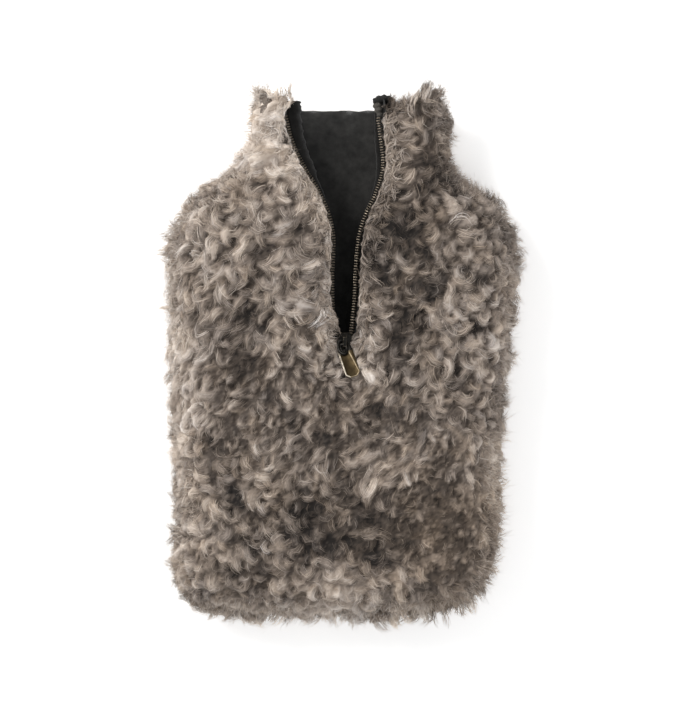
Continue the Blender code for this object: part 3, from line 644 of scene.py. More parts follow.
def walk(v, segments):
    """Middle line of each lock or strand from its root, and its frame at each point."""
    t = np.linspace(0, 1, segments + 1)
    middle = (t[1:] + t[:-1]) / 2
    rise = v["rise_from"][:, None] + (v["rise_to"] - v["rise_from"])[:, None] * (
        np.clip(middle / v["bend"][:, None], 0, 1))
    turn = v["angle"][:, None] + v["turn"][:, None] * middle ** 1.2 + v["wave"][:, None] * np.sin(
        2 * np.pi * (middle * v["waves"][:, None] + v["phase"][:, None]))
    along, across, normal = v["along"][:, None], v["across"][:, None], v["normal"][:, None]
    way = np.cos(turn)[:, :, None] * along + np.sin(turn)[:, :, None] * across
    side = -np.sin(turn)[:, :, None] * along + np.cos(turn)[:, :, None] * across
    step = np.cos(rise)[:, :, None] * way + np.sin(rise)[:, :, None] * normal
    up = np.cos(rise)[:, :, None] * normal - np.sin(rise)[:, :, None] * way
    stride = (v["length"] / segments)[:, None, None]
    path = np.concatenate([np.zeros((len(turn), 1, 3)), np.cumsum(step * stride, 1)], 1)

    def at_points(w):
        return unit(np.concatenate([w[:, :1], w[:, 1:] + w[:, :-1], w[:, -1:]], 1))

    return t, path, at_points(side), at_points(up), at_points(step)


def waist(locks, t, loose=1.0):
    """How thick a lock is along its length, next to its radius."""
    clump = (locks["clump"] * loose)[:, None]
    return (1 - clump * eased(t)[None, :]) * (1 + 0.35 * np.sin(np.pi * t)[None, :] * clump)


def graded(tone, fade, height, depth):
    """Painted shade by height over the skin: dark between the locks, where shade falls, and paler on their tops as
    painted light.
    """
    return tone + fade * (np.clip(height / depth, 0, 1.15) ** 1.3 - 0.75)


def grow(rng, name, locks, segments, width, share=1.0, hang=None):
    """Strands round the locks. locks is a dict of arrays, one value for each lock."""
    counts = np.maximum(1, np.round(locks["strands"] * share)).astype(int)
    owner = np.repeat(np.arange(len(counts)), counts)
    count = len(owner)
    v = part_of(locks, owner)
    stray = rng.random(count) < STRAY_SHARE
    v["length"] = v["length"] * (1.0 + rng.normal(0, 0.09, count) + 0.12 * stray)
    lean = rng.normal(0, 0.08, count) + 0.12 * stray
    v["rise_from"] = v["rise_from"] + lean
    v["rise_to"] = v["rise_to"] + lean
    v["angle"] = v["angle"] + rng.normal(0, 0.08, count)
    t, path, side, up, step = walk(v, segments)
    bundle = rng.integers(0, BUNDLES, count)
    a = 2 * np.pi * (bundle / BUNDLES + v["phase"]) + rng.normal(0, 0.25, count)
    r = 0.55 + 0.6 * rng.random(count)
    apart = BUNDLE_NOISE * rng.normal(0, 1, (len(counts), BUNDLES))[owner, bundle]
    off_a, off_b = r * np.cos(a), r * np.sin(a)
    spread = v["radius"][:, None] * waist(v, t, np.where(stray, 0.6, 1.0))
    offset = spread[:, :, None] * (off_a[:, None, None] * side + off_b[:, None, None] * up)
    loose = v["fuzz"] * np.where(stray, 2.2, 1.0)
    fuzz = rng.normal(0, 1, (count, 1, 3)) * loose[:, None, None] * (t ** 2)[None, :, None]
    ripple = loose[:, None] * 0.6 * np.sin(2 * np.pi * (t[None, :] * 1.6 + rng.random((count, 1))))
    move = path + offset + fuzz + ripple[:, :, None] * side
    normal = v["normal"]
    height = (move * normal[:, None]).sum(-1)
    lift = np.maximum(LEAST_HEIGHT * t[None, :] - height, 0.0)
    centre = v["place"][:, None] + move + lift[:, :, None] * normal[:, None]
    give = abs(rng.normal(0, 0.5, (count, 1))) * np.where(stray, 2.0, 1.0)[:, None]
    centre = comb(hang(centre) if hang else centre, give * t[None, :], v["place"][:, None])
    facing = unit(0.7 * (off_a[:, None, None] * side + off_b[:, None, None] * up)
                  + 0.9 * normal[:, None] + rng.normal(0, 0.12, (count, 1, 3)))
    flat = unit(facing - (facing * step).sum(-1, keepdims=True) * step)
    ribbon = np.cross(step, flat)
    # painted shade and light: each strand's shade by its height over the skin
    shade = graded((v["tone"] + apart + rng.normal(0, STRAND_NOISE, count))[:, None], v["fade"][:, None],
                   height + lift, v["depth"][:, None])
    # painted highlight: some strands get paler towards their tips
    shade = shade + v["tip"][:, None] * (t ** 3)[None, :]
    wide = width * (0.8 + 0.4 * rng.random(count)) * np.where(stray, 0.6, 1.0)
    wide = wide[:, None] * (1 - 0.78 * t ** 2.5)[None, :]
    warm = np.clip(v["warm"] + rng.normal(0, 0.12, count), 0.02, 0.98)
    return strip_mesh(name, centre, ribbon, facing, wide, shade, warm)


def fleece(rng, name, panel, skin, locks, voxel):
    """The mass of the wool: the skin's outer side, raised to the tops of the locks."""
    copy = skin.copy()
    bpy.context.scene.collection.objects.link(copy)
    even = copy.modifiers.new("even", "REMESH")
    even.mode = "VOXEL"
    even.voxel_size = voxel * MM
    mesh = bpy.data.meshes.new_from_object(copy.evaluated_get(bpy.context.evaluated_depsgraph_get()))
    bpy.data.objects.remove(copy)
    points = np.array([w.co[:] for w in mesh.vertices]) / MM
    quads = np.array([list(f.vertices) for f in mesh.polygons])
    bpy.data.meshes.remove(mesh)
    tree = BVHTree.FromPolygons(panel.skin.tolist(), panel.faces.tolist())
    hits = [tree.find_nearest(p) for p in points.tolist()]
    face = np.array([h[2] for h in hits])
    foot = np.array([h[0][:] for h in hits])
    keep = panel.outer[face][quads].all(1)
    used = np.unique(quads[keep])
    index = np.full(len(points), -1)
    index[used] = np.arange(len(used))
    quads, points, face, foot = index[quads[keep]], points[used], face[used], foot[used]
    a, b, c = (panel.skin[panel.faces[face, i]] for i in range(3))
    whole = np.maximum(np.linalg.norm(np.cross(b - a, c - a), axis=1), 1e-9)
    share = np.stack([np.linalg.norm(np.cross(b - foot, c - foot), axis=1),
                      np.linalg.norm(np.cross(c - foot, a - foot), axis=1),
                      np.linalg.norm(np.cross(a - foot, b - foot), axis=1)], 1) / whole[:, None]
    share = share / share.sum(1, keepdims=True)
    corner = panel.faces[face]
    depth = (panel.depth[corner] * share).sum(1)
    edges = np.concatenate([quads[:, [i, (i + 1) % 4]] for i in range(4)])
    degree = np.zeros(len(points))
    np.add.at(degree, edges.ravel(), 1)

    def averaged(values, rounds):
        for _ in range(rounds):
            total = values * degree[:, None]
            np.add.at(total, edges[:, 0], values[edges[:, 1]])
            np.add.at(total, edges[:, 1], values[edges[:, 0]])
            values = total / (2 * degree[:, None])
        return values

    normal = unit(averaged((panel.skin_normals[corner] * share[:, :, None]).sum(1), 4))
    depth = seam_depth(points, normal, depth)
    near = KDTree(len(points))
    for i, p in enumerate(points.tolist()):
        near.insert(p, i)
    near.balance()
    t, path, _, _, _ = walk(locks, FLEECE_STEPS)
    centre = comb((locks["place"][:, None] + path).copy(), 0.0, locks["place"][:, None])[:, 1:]
    girth = FLEECE_GIRTH * locks["radius"][:, None] * waist(locks, t)[:, 1:]
    owner = np.repeat(np.arange(len(path)), FLEECE_STEPS)
    centre, girth = centre.reshape(-1, 3), girth.ravel()
    foot = centre - (((centre - locks["place"][owner]) * locks["normal"][owner]).sum(1)[:, None]
                     * locks["normal"][owner])
    found = [[i for _, i, _ in near.find_range(p, r)] for p, r in zip(foot.tolist(), girth.tolist())]
    ball = np.repeat(np.arange(len(found)), [len(f) for f in found])
    at = np.array([i for f in found for i in f])
    over = ((centre[ball] - points[at]) * normal[at]).sum(1)
    aside = ((centre[ball] - points[at]) ** 2).sum(1) - over ** 2
    top = over + np.sqrt(np.maximum(girth[ball] ** 2 - aside, 0.0))
    top[aside > girth[ball] ** 2] = 0.0
    order = np.argsort(top)
    height = 0.35 * depth
    roots = KDTree(len(path))
    for i, p in enumerate(locks["place"].tolist()):
        roots.insert(p, i)
    roots.balance()
    winner = np.array([roots.find(p)[1] for p in points.tolist()])
    wins = top[order] > height[at[order]]
    height[at[order][wins]] = top[order][wins]
    winner[at[order]] = owner[ball[order]]
    values = np.stack([height, locks["tone"][winner], locks["fade"][winner], locks["warm"][winner]], 1)
    values = averaged(values, 1)
    height = values[:, 0] + rng.normal(0, FLEECE_ROUGH, len(points))
    height = np.clip(height, 0.2, FLEECE_TOP * np.maximum(depth, 2.0))
    at_collar = (normal[:, 1] > 0.4) & (points[:, 1] > COLLAR_FROM)
    height[at_collar] = np.maximum(height[at_collar], COLLAR_LEAST)
    raised = points + normal * height[:, None]
    if panel.name == "front_panel":
        panel.hang = Overhang(raised)
        raised = comb(panel.hang(raised))
        panel.surface = raised, normal
    raised[:, 2] = np.maximum(raised[:, 2], FLOOR_ROOM)
    tone = values[:, 1] + rng.normal(0, FLEECE_NOISE, len(points))
    # painted shade by height over the skin, as for the strands, and the mass a little darker still
    shade = graded(tone, values[:, 2], height, np.maximum(depth, 2.0)) - FLEECE_DARKER
    made = bpy.data.meshes.new(name)
    made.from_pydata((raised * MM).tolist(), [], quads.tolist())
    made.polygons.foreach_set("use_smooth", np.ones(len(quads), bool))
    uv = np.stack([np.clip(shade, 0.01, 0.99), np.clip(values[:, 3], 0.01, 0.99)], 1)
    made.uv_layers.new(name="OFBake").data.foreach_set("uv", uv[quads.ravel()].astype(np.float32).ravel())
    made.materials.append(WOOL)
    obj = bpy.data.objects.new(name, made)
    bpy.context.scene.collection.objects.link(obj)
    return obj


def slit_sides():
    """The slit's two sides: chain, way that its wool faces, and the wool's distance by y."""
    return ((CHAIN_LEFT, 1.0, np.array(BARE_LEFT)), (CHAIN_RIGHT, -1.0, np.array(BARE_RIGHT)))


def slit_room(points, line, sign, bare, roots=None):
    """How far each point is outside the line that the wool keeps from, and where that
    holds. roots, where given, say which side of the slit each point belongs to."""
    y = points[..., 1]
    centre = np.interp(y, line[:, 1], line[:, 0])
    keep = np.interp(y, bare[:, 0], bare[:, 1])
    end = np.clip((SLIDER_TOP - y) / 6.0, 0, 1)
    edge = (centre - sign * keep) * (1 - end) + (SLIDER_X - sign * SLIDER_HALF) * end
    near = (y > SLIT_END) & (points[..., 2] > 36.0)
    if roots is None:
        near &= sign * (SLIDER_X - points[..., 0]) > -4.0
    else:
        middle = sum(np.interp(roots[..., 1], side[:, 1], side[:, 0]) for side in (CHAIN_LEFT, CHAIN_RIGHT)) / 2
        near &= sign * (middle - roots[..., 0]) > 0
    return sign * (edge - points[..., 0]), near


def comb(points, give=0.0, roots=None):
    """points kept off the teeth, the slider and the pull, but for give."""
    y = points[..., 1].copy()
    uneven = sum(size * np.sin(rate * y + start) for rate, size, start in EDGE_WAVES)
    for line, sign, bare in slit_sides():
        room, near = slit_room(points, line, sign, bare, roots)
        room = room + give + uneven
        soft = COMB_SOFT * np.logaddexp(0, room / COMB_SOFT)
        fade = np.clip((y - SLIT_END) / 3.0, 0, 1)
        push = np.where(near, (soft - room) * fade, 0.0)
        most = np.where((y > 100.0) | (roots is None), 6.0, 16.0)
        points[..., 0] = points[..., 0] - sign * np.minimum(push, most)
    x, y = points[..., 0] - PULL_EYE[0], points[..., 1] - PULL_EYE[1]
    down = x * PULL_WAY[0] + y * PULL_WAY[1]
    side = abs(x * PULL_WAY[1] - y * PULL_WAY[0])
    under = (down > -4.0) & (down < PULL_REACH) & (side < PULL_HALF)
    cap = PULL_PLANE[0] + PULL_PLANE[1] * points[..., 0] + PULL_PLANE[2] * points[..., 1]
    points[..., 2] = np.where(under, np.minimum(points[..., 2], cap), points[..., 2])
    points[..., 2] = np.maximum(points[..., 2], FLOOR_ROOM)
    return points


class Overhang:
    """Draws the wool beside the slit over the tape, to where it keeps to."""

    def __init__(self, raised):
        self.rows = np.arange(SLIDER_TOP, raised[:, 1].max(), 3.0)
        self.starts = []
        for line, sign, bare in slit_sides():
            room, near = slit_room(raised, line, sign, bare)
            starts = []
            for y in self.rows:
                beside = near & (abs(raised[:, 1] - y) < 2.0) & (room > -4.0)
                starts.append(min(np.percentile(room[beside], 1), HANG_MOST) if beside.any() else 0.0)
            self.starts.append(np.array(starts))

    def __call__(self, points):
        upper = np.clip((points[..., 1] - SLIDER_TOP) / 6.0, 0, 1)
        for (line, sign, bare), starts, top in zip(slit_sides(), self.starts, HANG_TOP):
            room, near = slit_room(points, line, sign, bare)
            gap = np.interp(points[..., 1], self.rows, starts) * np.clip((top - points[..., 1]) / 5.0, 0, 1)
            share = np.clip(1 - (room - gap) / (HANG_REACH + gap), 0, 1)
            lean = np.where(near & (room > -4.0), gap * share ** 1.3 * upper, 0.0)
            points[..., 0] = points[..., 0] + sign * lean
            points[..., 2] = points[..., 2] + HANG_LIFT * np.maximum(lean, 0.0)
        return points


def on_rim(middle, normal):
    """1 on the faces that show at the cover's outline from above."""
    return (normal[:, 2] < 0.5) & (normal[:, 2] > -0.4) & ~beside_slit(middle, normal)


def fly_away(rng, number):
    """Plans for the fine pale fibres that make the outline soft."""
    fine = plan_locks(rng, front.scatter(rng, number, on_rim), np.ones(number, bool))
    fine["length"] = RIM_LENGTH * (0.7 + 0.6 * rng.random(number))
    fine["rise_from"] = np.radians(70 + rng.normal(0, 14, number))
    fine["rise_to"] = np.radians(45 + rng.normal(0, 30, number))
    fine["angle"] = rng.random(number) * 2 * np.pi
    fine["turn"] = rng.normal(0, 1.2, number)
    fine["strands"] = np.ones(number)
    fine["radius"] = np.full(number, 0.8)
    # painted light: the outline's fibres are paler, as if lit from behind, with little painted shade by height
    fine["tone"] = fine["tone"] + 0.12
    fine["fade"] = np.full(number, 0.15)
    return fine


def tufts(rng, panel, number):
    """Plans for short locks on the wool's own surface, where it hangs over the slit and at the collar's top."""
    points, normals = panel.surface
    column = (points[:, 0] // 4).astype(int)
    column -= column.min()
    highest = np.full(column.max() + 1, -999.0)
    np.maximum.at(highest, column, points[:, 1])
    top = np.clip((points[:, 1] - highest[column] + 6.0) / 4.0, 0, 1) * (points[:, 1] > 150.0)
    weight = 1.6 * top
    for line, sign, bare in slit_sides():
        room, near = slit_room(points, line, sign, bare)
        weight += near * (points[:, 1] > 2.0) * (room < 9.0) * (room > -2.0)
    pick = rng.choice(len(points), number, replace=False, p=weight / weight.sum())
    place = points[pick] - normals[pick] * 0.9
    small = plan_locks(rng, (place, normals[pick], np.full(number, TUFT_DEPTH)), np.ones(number, bool))
    top = top[pick]
    small["length"] = 6.0 + 4.0 * rng.random(number)
    small["angle"] = rng.normal(0, 0.7, number) + np.pi * top
    small["turn"] = rng.normal(0, 1.4, number)
    small["rise_from"] = np.radians(52 + rng.normal(0, 12, number))
    small["rise_to"] = np.radians(-5 + rng.normal(0, 20, number))
    small["radius"] = 1.3 + 0.6 * rng.random(number)
    small["strands"] = np.full(number, 9.0)
    small["fade"] = np.full(number, 0.22)
    small["tone"] = small["tone"] - 0.04
    return small


def over_seam(rng, panel):
    """Plans for the locks that hang from the front over the seam."""
    def at_seam(middle, normal):
        return (middle[:, 2] < 33.0) & (abs(normal[:, 2]) < 0.9) & (middle[:, 1] < BACK_PILE_TOP)

    found = spaced(rng, panel.scatter(rng, 2500, at_seam), SEAM_SPACING)
    number = len(found[0])
    made = plan_locks(rng, found, np.ones(number, bool))
    down = np.tile([0.0, 0.0, -1.0], (number, 1))
    made["along"] = unit(down - (down * found[1]).sum(1, keepdims=True) * found[1])
    made["across"] = np.cross(found[1], made["along"])
    made["angle"] = rng.normal(0, 0.5, number)
    made["length"] = 11.0 + 5.0 * rng.random(number)
    made["rise_from"] = np.radians(60 + rng.normal(0, 8, number))
    made["rise_to"] = np.radians(15 + rng.normal(0, 15, number))
    made["tone"] = made["tone"] + 0.04
    return made


def below_collar(middle, normal):
    return (middle[:, 1] < BACK_PILE_TOP) & (normal[:, 2] < 0.35)


def beside_slit(middle, normal):
    """1 on the faces next to the slit's edges."""
    left = np.interp(middle[:, 1], CHAIN_LEFT[:, 1], CHAIN_LEFT[:, 0]) - middle[:, 0]
    right = middle[:, 0] - np.interp(middle[:, 1], CHAIN_RIGHT[:, 1], CHAIN_RIGHT[:, 0])
    near = ((left > 0) & (left < EDGE_REACH)) | ((right > 0) & (right < EDGE_REACH))
    return near & (middle[:, 1] > 4.0) & (middle[:, 2] > 36.0)


def chain_line(node):
    """Middle of a chain of teeth, every 2 mm up the cover: x, y, z."""
    points = np.array([v.co[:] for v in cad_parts[node].data.vertices]) / MM
    line = []
    for y in np.arange(points[:, 1].min() + 1.0, points[:, 1].max() - 0.5, 2.0):
        near = points[abs(points[:, 1] - y) < 1.3]
        middle = (near.min(0) + near.max(0)) / 2
        line.append((middle[0], y, middle[2]))
    line = np.array(line)
    for _ in range(2):
        line[1:-1] = (line[:-2] + 2 * line[1:-1] + line[2:]) / 4
    return line


def seam_depth(place, normal, depth):
    """The pile's depth, no less than SEAM_DEPTH where the panels are sewn together."""
    at_seam = (place[:, 2] > SEAM_LOW) & (place[:, 2] < SEAM_HIGH) & (abs(normal[:, 2]) < 0.85)
    at_seam &= place[:, 1] < BACK_PILE_TOP
    return np.where(at_seam, np.maximum(depth, SEAM_DEPTH), depth)


def plan_locks(rng, found, front, scale=1.0):
    place, normal, depth = found
    depth = seam_depth(place, normal, depth)
    collar = (place[:, 1] > BACK_PILE_TOP - 5.0) & (place[:, 2] > 22.0)
    depth = np.where(collar, np.maximum(depth, COLLAR_DEPTH), depth)
    number = len(place)
    heading, (spread, turn, length, lay, knob, tone) = lie_at(place, front)
    patch = np.array([mottle(p, 16.0, 3.0) for p in place])
    fine = np.array([mottle(p, 7.0, 31.0) for p in place])
    swirl = np.array([mottle(p, 24.0, 57.0) for p in place])
    clumps = np.array([mottle(p, CLUMPS[0], 91.0) for p in place])
    length = length * (1 + CLUMPS[1] * clumps)
    slit = np.zeros(number)
    for line, sign in ((CHAIN_LEFT, 1.0), (CHAIN_RIGHT, -1.0)):
        centre = np.interp(place[:, 1], line[:, 1], line[:, 0])
        room = sign * (centre - place[:, 0])
        lean = np.clip((EDGE_REACH - room) / 4.0, 0, 1) * (place[:, 1] > -2) * (room > 0)
        lean = lean * front * (place[:, 2] > 36)
        heading = unit(heading * (1 - lean)[:, None] + np.array([[sign, -0.55]]) * lean[:, None])
        spread, turn = spread * (1 - 0.7 * lean), turn * (1 - 0.7 * lean)
        lay = np.maximum(lay, lean)
        knob = knob * (1 - 0.8 * lean)
        length = length * (1 - 0.2 * lean)
        slit = np.maximum(slit, 0.9 * lean)
    along, across = frames(normal, heading)
    hand = np.where(rng.random(number) < 0.5, -1.0, 1.0)
    room = np.clip(depth / PILE_DEPTH, 0.3, 1.15)
    tight = rng.random(number) < knob * 0.75
    spots = np.zeros(number)
    # HOLLOWS: painted shade in the hollows, the deepest with shorter locks as well
    for x, y, reach, change in HOLLOWS:
        near = np.exp(-((place[:, 0] - x) ** 2 + (place[:, 1] - y) ** 2) / (2 * reach ** 2)) * front
        spots += change * near
        length = length * (1 - 0.4 * near * (change < -0.15))
    # rim and under: painted light, locks that face sideways or down are paler, for light bounced onto the outline from
    # the floor; rim also weakens their painted shade by height
    rim = eased((0.75 - normal[:, 2]) / 0.6)
    under = eased((0.3 - normal[:, 2]) / 0.5)
    low_neck = eased((31.0 - place[:, 2]) / 9.0) * eased((place[:, 1] - 95.0) / 15.0) * np.maximum(tone, 0.0)
    x, y, reach, warmer = WARM_PLACE
    warmer = warmer * front * np.exp(-((place[:, 0] - x) ** 2 + (place[:, 1] - y) ** 2) / (2 * reach ** 2))
    radius = np.where(tight, 2.9, 2.3) * (0.7 + 0.7 * rng.random(number)) * np.clip(length / 12, 0.7, 1.1)
    radius = radius * (1 + 0.15 * np.clip(0.5 - lay, 0, 1))
    return {
        "place": place, "normal": normal, "along": along, "across": across,
        "depth": np.maximum(depth, 3.0),
        "angle": np.radians(spread) * (0.55 * swirl + 0.6 * rng.normal(0, 1, number)),
        "turn": hand * np.radians(turn) * (0.6 + 0.9 * rng.random(number)),
        "length": length * scale * np.maximum(room ** 0.6, slit) * (0.85 + 0.3 * rng.random(number)),
        "rise_from": np.radians(np.where(tight, 80, 62) + rng.normal(0, 8, number)),
        "rise_to": np.radians(np.where(tight, -60, 45 - 60 * lay) + rng.normal(0, 12, number)),
        "bend": np.where(tight, 1.0, 0.65),
        "wave": np.where(tight, 0.15, 0.35) * rng.random(number),
        "waves": 1.0 + rng.random(number),
        "phase": rng.random(number),
        "radius": radius,
        "strands": STRANDS * (radius / 2.5) ** 2,
        "clump": np.clip(0.4 + 0.4 * lay * rng.random(number), 0, 0.9),
        "fuzz": 0.35 + 0.3 * rng.random(number),
        # tone: painted shade from HOLLOWS, painted light on the CLUMPS and shade between them, painted light from rim
        # and under
        "tone": 0.52 + 1.05 * tone + spots + 0.08 * patch + 0.07 * fine + CLUMPS[2] * clumps + 0.10 * rim + 0.13 * under
                - NECK_DARKER * low_neck
                + 0.055 * rng.normal(0, 1, number),
        # fade: strength of the painted shade by height; less on the rim and where the locks stand up
        "fade": (0.42 + 0.16 * rng.random(number)) * (1 - 0.5 * rim) * np.clip(0.6 + 0.6 * lay, 0.55, 1),
        # tip: how much painted highlight a lock's strand tips get
        "tip": 0.09 * rng.random(number) ** 2,
        "warm": 0.52 + warmer + 0.12 * patch + 0.1 * rng.normal(0, 1, number),
    }


def accents(rng, panel):
    """Plans for the curls and knobs of the tables, each on the skin under its place."""
    rows = [(x, y, angle, turn, length, radius, tone, 0) for x, y, angle, turn, length, radius, tone in CURLS]
    rows += [(x, y, -90, 60, 10.5, radius, tone, 1) for x, y, radius, tone in KNOBS]
    table = np.array(rows, float)
    tree = BVHTree.FromPolygons(panel.skin.tolist(), panel.faces.tolist())
    feet = [tree.find_nearest(Vector((x, y, ABOVE))) for x, y in table[:, :2].tolist()]
    place = np.array([hit[0][:] for hit in feet])
    corner = panel.faces[np.array([hit[2] for hit in feet])]
    normal = unit(panel.skin_normals[corner].mean(1))
    made = plan_locks(rng, (place, normal, panel.depth[corner].mean(1)), np.ones(len(place), bool))
    angle = np.radians(table[:, 2])
    made["along"], made["across"] = frames(normal, np.stack([np.cos(angle), np.sin(angle)], 1))
    knob = table[:, 7] > 0
    made["angle"] = 0.1 * rng.normal(0, 1, len(table))
    made["turn"] = np.radians(table[:, 3]) * 1.1
    made["length"] = table[:, 4]
    made["radius"] = table[:, 5] * 0.92
    made["fuzz"] = made["fuzz"] * 1.6
    made["rise_from"] = np.where(knob, 1.45, 1.1)
    made["rise_to"] = np.where(knob, -1.1, -0.12)
    made["bend"] = np.where(knob, 1.0, 0.4)
    made["wave"] = np.full(len(table), 0.04)
    made["strands"] = STRANDS * (table[:, 5] / 2.5) ** 2 * 1.4
    made["tone"] = made["tone"] + np.where(knob, ACCENT_STRENGTH[1], ACCENT_STRENGTH[0]) * table[:, 6]
    return made


def joined(one, two):
    return {key: np.concatenate([one[key], two[key]]) for key in one}


def mottle(p, size, seed):
    """Smooth noise from -1 to 1 at a place."""
    return noise.noise(Vector((p[0] / size + seed, p[1] / size, p[2] / size))) * 1.6


def part_of(locks, pick):
    return {key: values[pick] for key, values in locks.items()}


rng = np.random.default_rng(SEED)
CHAIN_LEFT, CHAIN_RIGHT = chain_line("zip_teeth_left"), chain_line("zip_teeth_right")
PULL_PLANE, PULL_WAY = pull_plane()
panels = [Panel("front_panel"), Panel("back_panel")]
for panel in panels:
    panel.make_skin()
front, back = panels
skins = [front.skin_object("front_skin"), back.skin_object("back_skin")]

found = spaced(rng, front.scatter(rng, 20000), FRONT_SPACING)
extra = spaced(rng, front.scatter(rng, 2600, beside_slit), 2.2)
found = tuple(np.concatenate([a, b]) for a, b in zip(found, extra))
locks = plan_locks(rng, found, np.ones(len(found[0]), bool))
curls = accents(rng, front)
wool = [fleece(rng, "fleece_front", front, skins[0], joined(locks, curls), FLEECE_VOXEL[0])]
order = np.argsort(locks["place"][:, 1])
cumulative = np.cumsum(np.maximum(1, np.round(locks["strands"][order])))
cuts = np.searchsorted(cumulative, cumulative[-1] * np.arange(1, 4) / 4)
for i, group in enumerate(np.split(order, cuts)):
    wool.append(grow(rng, f"wool_front_{i}", part_of(locks, group), 4, 0.36, hang=front.hang))
wool.append(grow(rng, "wool_front_seam", over_seam(rng, front), 4, 0.4, 0.8))
wool.append(grow(rng, "wool_front_curls", curls, 9, 0.36, hang=front.hang))
wool.append(grow(rng, "wool_front_tufts", tufts(rng, front, TUFTS), 4, 0.34))
wool.append(grow(rng, "wool_front_rim", fly_away(rng, RIM_FIBRES), 3, 0.24, hang=front.hang))

found = spaced(rng, back.scatter(rng, 6000, below_collar), BACK_SPACING)
locks = plan_locks(rng, found, found[0][:, 2] > np.where(found[0][:, 1] > 110, 4, 18))
low = locks["normal"][:, 2] < -0.6
back_wool = [fleece(rng, "fleece_back", back, skins[1], locks, FLEECE_VOXEL[1]),
             grow(rng, "wool_back_low", part_of(locks, low), 4, 0.9, 0.3),
             grow(rng, "wool_back_side", part_of(locks, ~low), 4, 0.5, 0.75)]

skin_pieces = {"front_panel": [skins[0]] + wool, "back_panel": [skins[1]] + back_wool}
for node, members in skin_pieces.items():
    for piece in members:
        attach(piece, "root")
        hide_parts(node)

# ---------------------------------------------------------------- zip

def linked(name, mesh, materials):
    for made in materials:
        mesh.materials.append(made)
    obj = bpy.data.objects.new(name, mesh)
    bpy.context.scene.collection.objects.link(obj)
    return obj


def tooth_rings():
    """A tooth's outline rings from its legs, outside the tape, to its head: place
    across the chain, half its thickness along the chain, half its height."""
    return ((-1.95, 0.34, 0.75), (-1.75, 0.52, 1.08), (-0.6, 0.58, 1.20), (0.35, 0.58, 1.20),
            (0.65, 0.50, 0.95), (1.35, 0.48, 0.90), (1.72, 0.42, 0.72), (1.85, 0.26, 0.42))


def teeth(name, line, inward, made):
    """Separate teeth clamped along a chain's middle line."""
    lengths = np.concatenate([[0], np.cumsum(np.linalg.norm(np.diff(line, axis=0), axis=1))])
    places = np.arange(0.4, lengths[-1] - 0.2, TOOTH_PITCH)
    middle = np.stack([np.interp(places, lengths, line[:, i]) for i in range(3)], 1)
    ahead = np.stack([np.interp(places + 1.0, lengths, line[:, i]) for i in range(3)], 1)
    behind = np.stack([np.interp(places - 1.0, lengths, line[:, i]) for i in range(3)], 1)
    along = unit(ahead - behind)
    across = unit(np.cross([0.0, 0.0, 1.0], along)) * -inward
    up = np.cross(along, across) * -inward
    up = up * np.sign(up[:, 2:3])
    rings = tooth_rings()
    corners = 10
    verts, faces = [], []
    for i in range(len(places)):
        first = len(verts)
        for v, half, high in rings:
            for k in range(corners):
                a = 2 * math.pi * (k + 0.5) / corners
                c, s = math.cos(a), math.sin(a)
                c = math.copysign(abs(c) ** 0.55, c)
                s = math.copysign(abs(s) ** 0.55, s)
                verts.append(middle[i] + across[i] * v + along[i] * half * c + up[i] * high * s)
        for ring in range(len(rings) - 1):
            for k in range(corners):
                j = (k + 1) % corners
                one, two = first + ring * corners, first + (ring + 1) * corners
                faces.append((one + k, one + j, two + j, two + k))
        faces.append(tuple(first + k for k in reversed(range(corners))))
        last = first + (len(rings) - 1) * corners
        faces.append(tuple(last + k for k in range(corners)))
    mesh = bpy.data.meshes.new(name)
    mesh.from_pydata((np.array(verts) * MM).tolist(), [], faces)
    bm = bmesh.new()
    bm.from_mesh(mesh)
    bmesh.ops.recalc_face_normals(bm, faces=bm.faces)
    bm.to_mesh(mesh)
    bm.free()
    mesh.polygons.foreach_set("use_smooth", np.ones(len(mesh.polygons), bool))
    mesh.update()
    return linked(name, mesh, [made])


def softened(node, name, materials, width, angle, segments=2, rim=None, levels=0, cut=None):
    """A copy of a CAD node with rounded edges; the rounding takes the second material,
    and what is beyond the cut, a place and a way, the third."""
    bm = bmesh.new()
    bm.from_mesh(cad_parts[node].data)
    bmesh.ops.remove_doubles(bm, verts=bm.verts, dist=0.00002)
    bmesh.ops.dissolve_limit(bm, angle_limit=math.radians(3), verts=bm.verts, edges=bm.edges)
    bm.normal_update()
    bright = sunk_panel(bm, *rim) if rim else []
    sharp = [e for e in bm.edges if len(e.link_faces) == 2 and e.calc_face_angle(0) > angle]
    for face in bm.faces:
        face.material_index = 1 if face in bright else 0
    done = bmesh.ops.bevel(bm, geom=sharp, offset=width * MM, segments=segments, profile=0.5,
                           affect="EDGES", clamp_overlap=True)
    for face in done["faces"]:
        face.material_index = min(len(materials) - 1, 1)
    if cut:
        bmesh.ops.bisect_plane(bm, geom=bm.verts[:] + bm.edges[:] + bm.faces[:], plane_co=cut[0], plane_no=cut[1])
        for face in bm.faces:
            if (face.calc_center_median() - cut[0]).dot(cut[1]) > 0:
                face.material_index = 2
    mesh = bpy.data.meshes.new(name)
    bm.to_mesh(mesh)
    bm.free()
    mesh.polygons.foreach_set("use_smooth", np.ones(len(mesh.polygons), bool))
    obj = linked(name, mesh, materials)
    if levels:
        rounder = obj.modifiers.new("rounder", "SUBSURF")
        rounder.levels = rounder.render_levels = levels
    return obj


def sunk_panel(bm, inset, depth):
    """The largest face that looks up is inset and sunk, which leaves a rim."""
    top = max((f for f in bm.faces if f.normal.z > 0.8), key=lambda f: f.calc_area())
    bmesh.ops.inset_region(bm, faces=[top], thickness=inset * MM, depth=0.0)
    bmesh.ops.translate(bm, verts=top.verts[:], vec=-top.normal * depth * MM)
    bm.normal_update()
    return [f for e in top.edges for f in e.link_faces if f is not top]


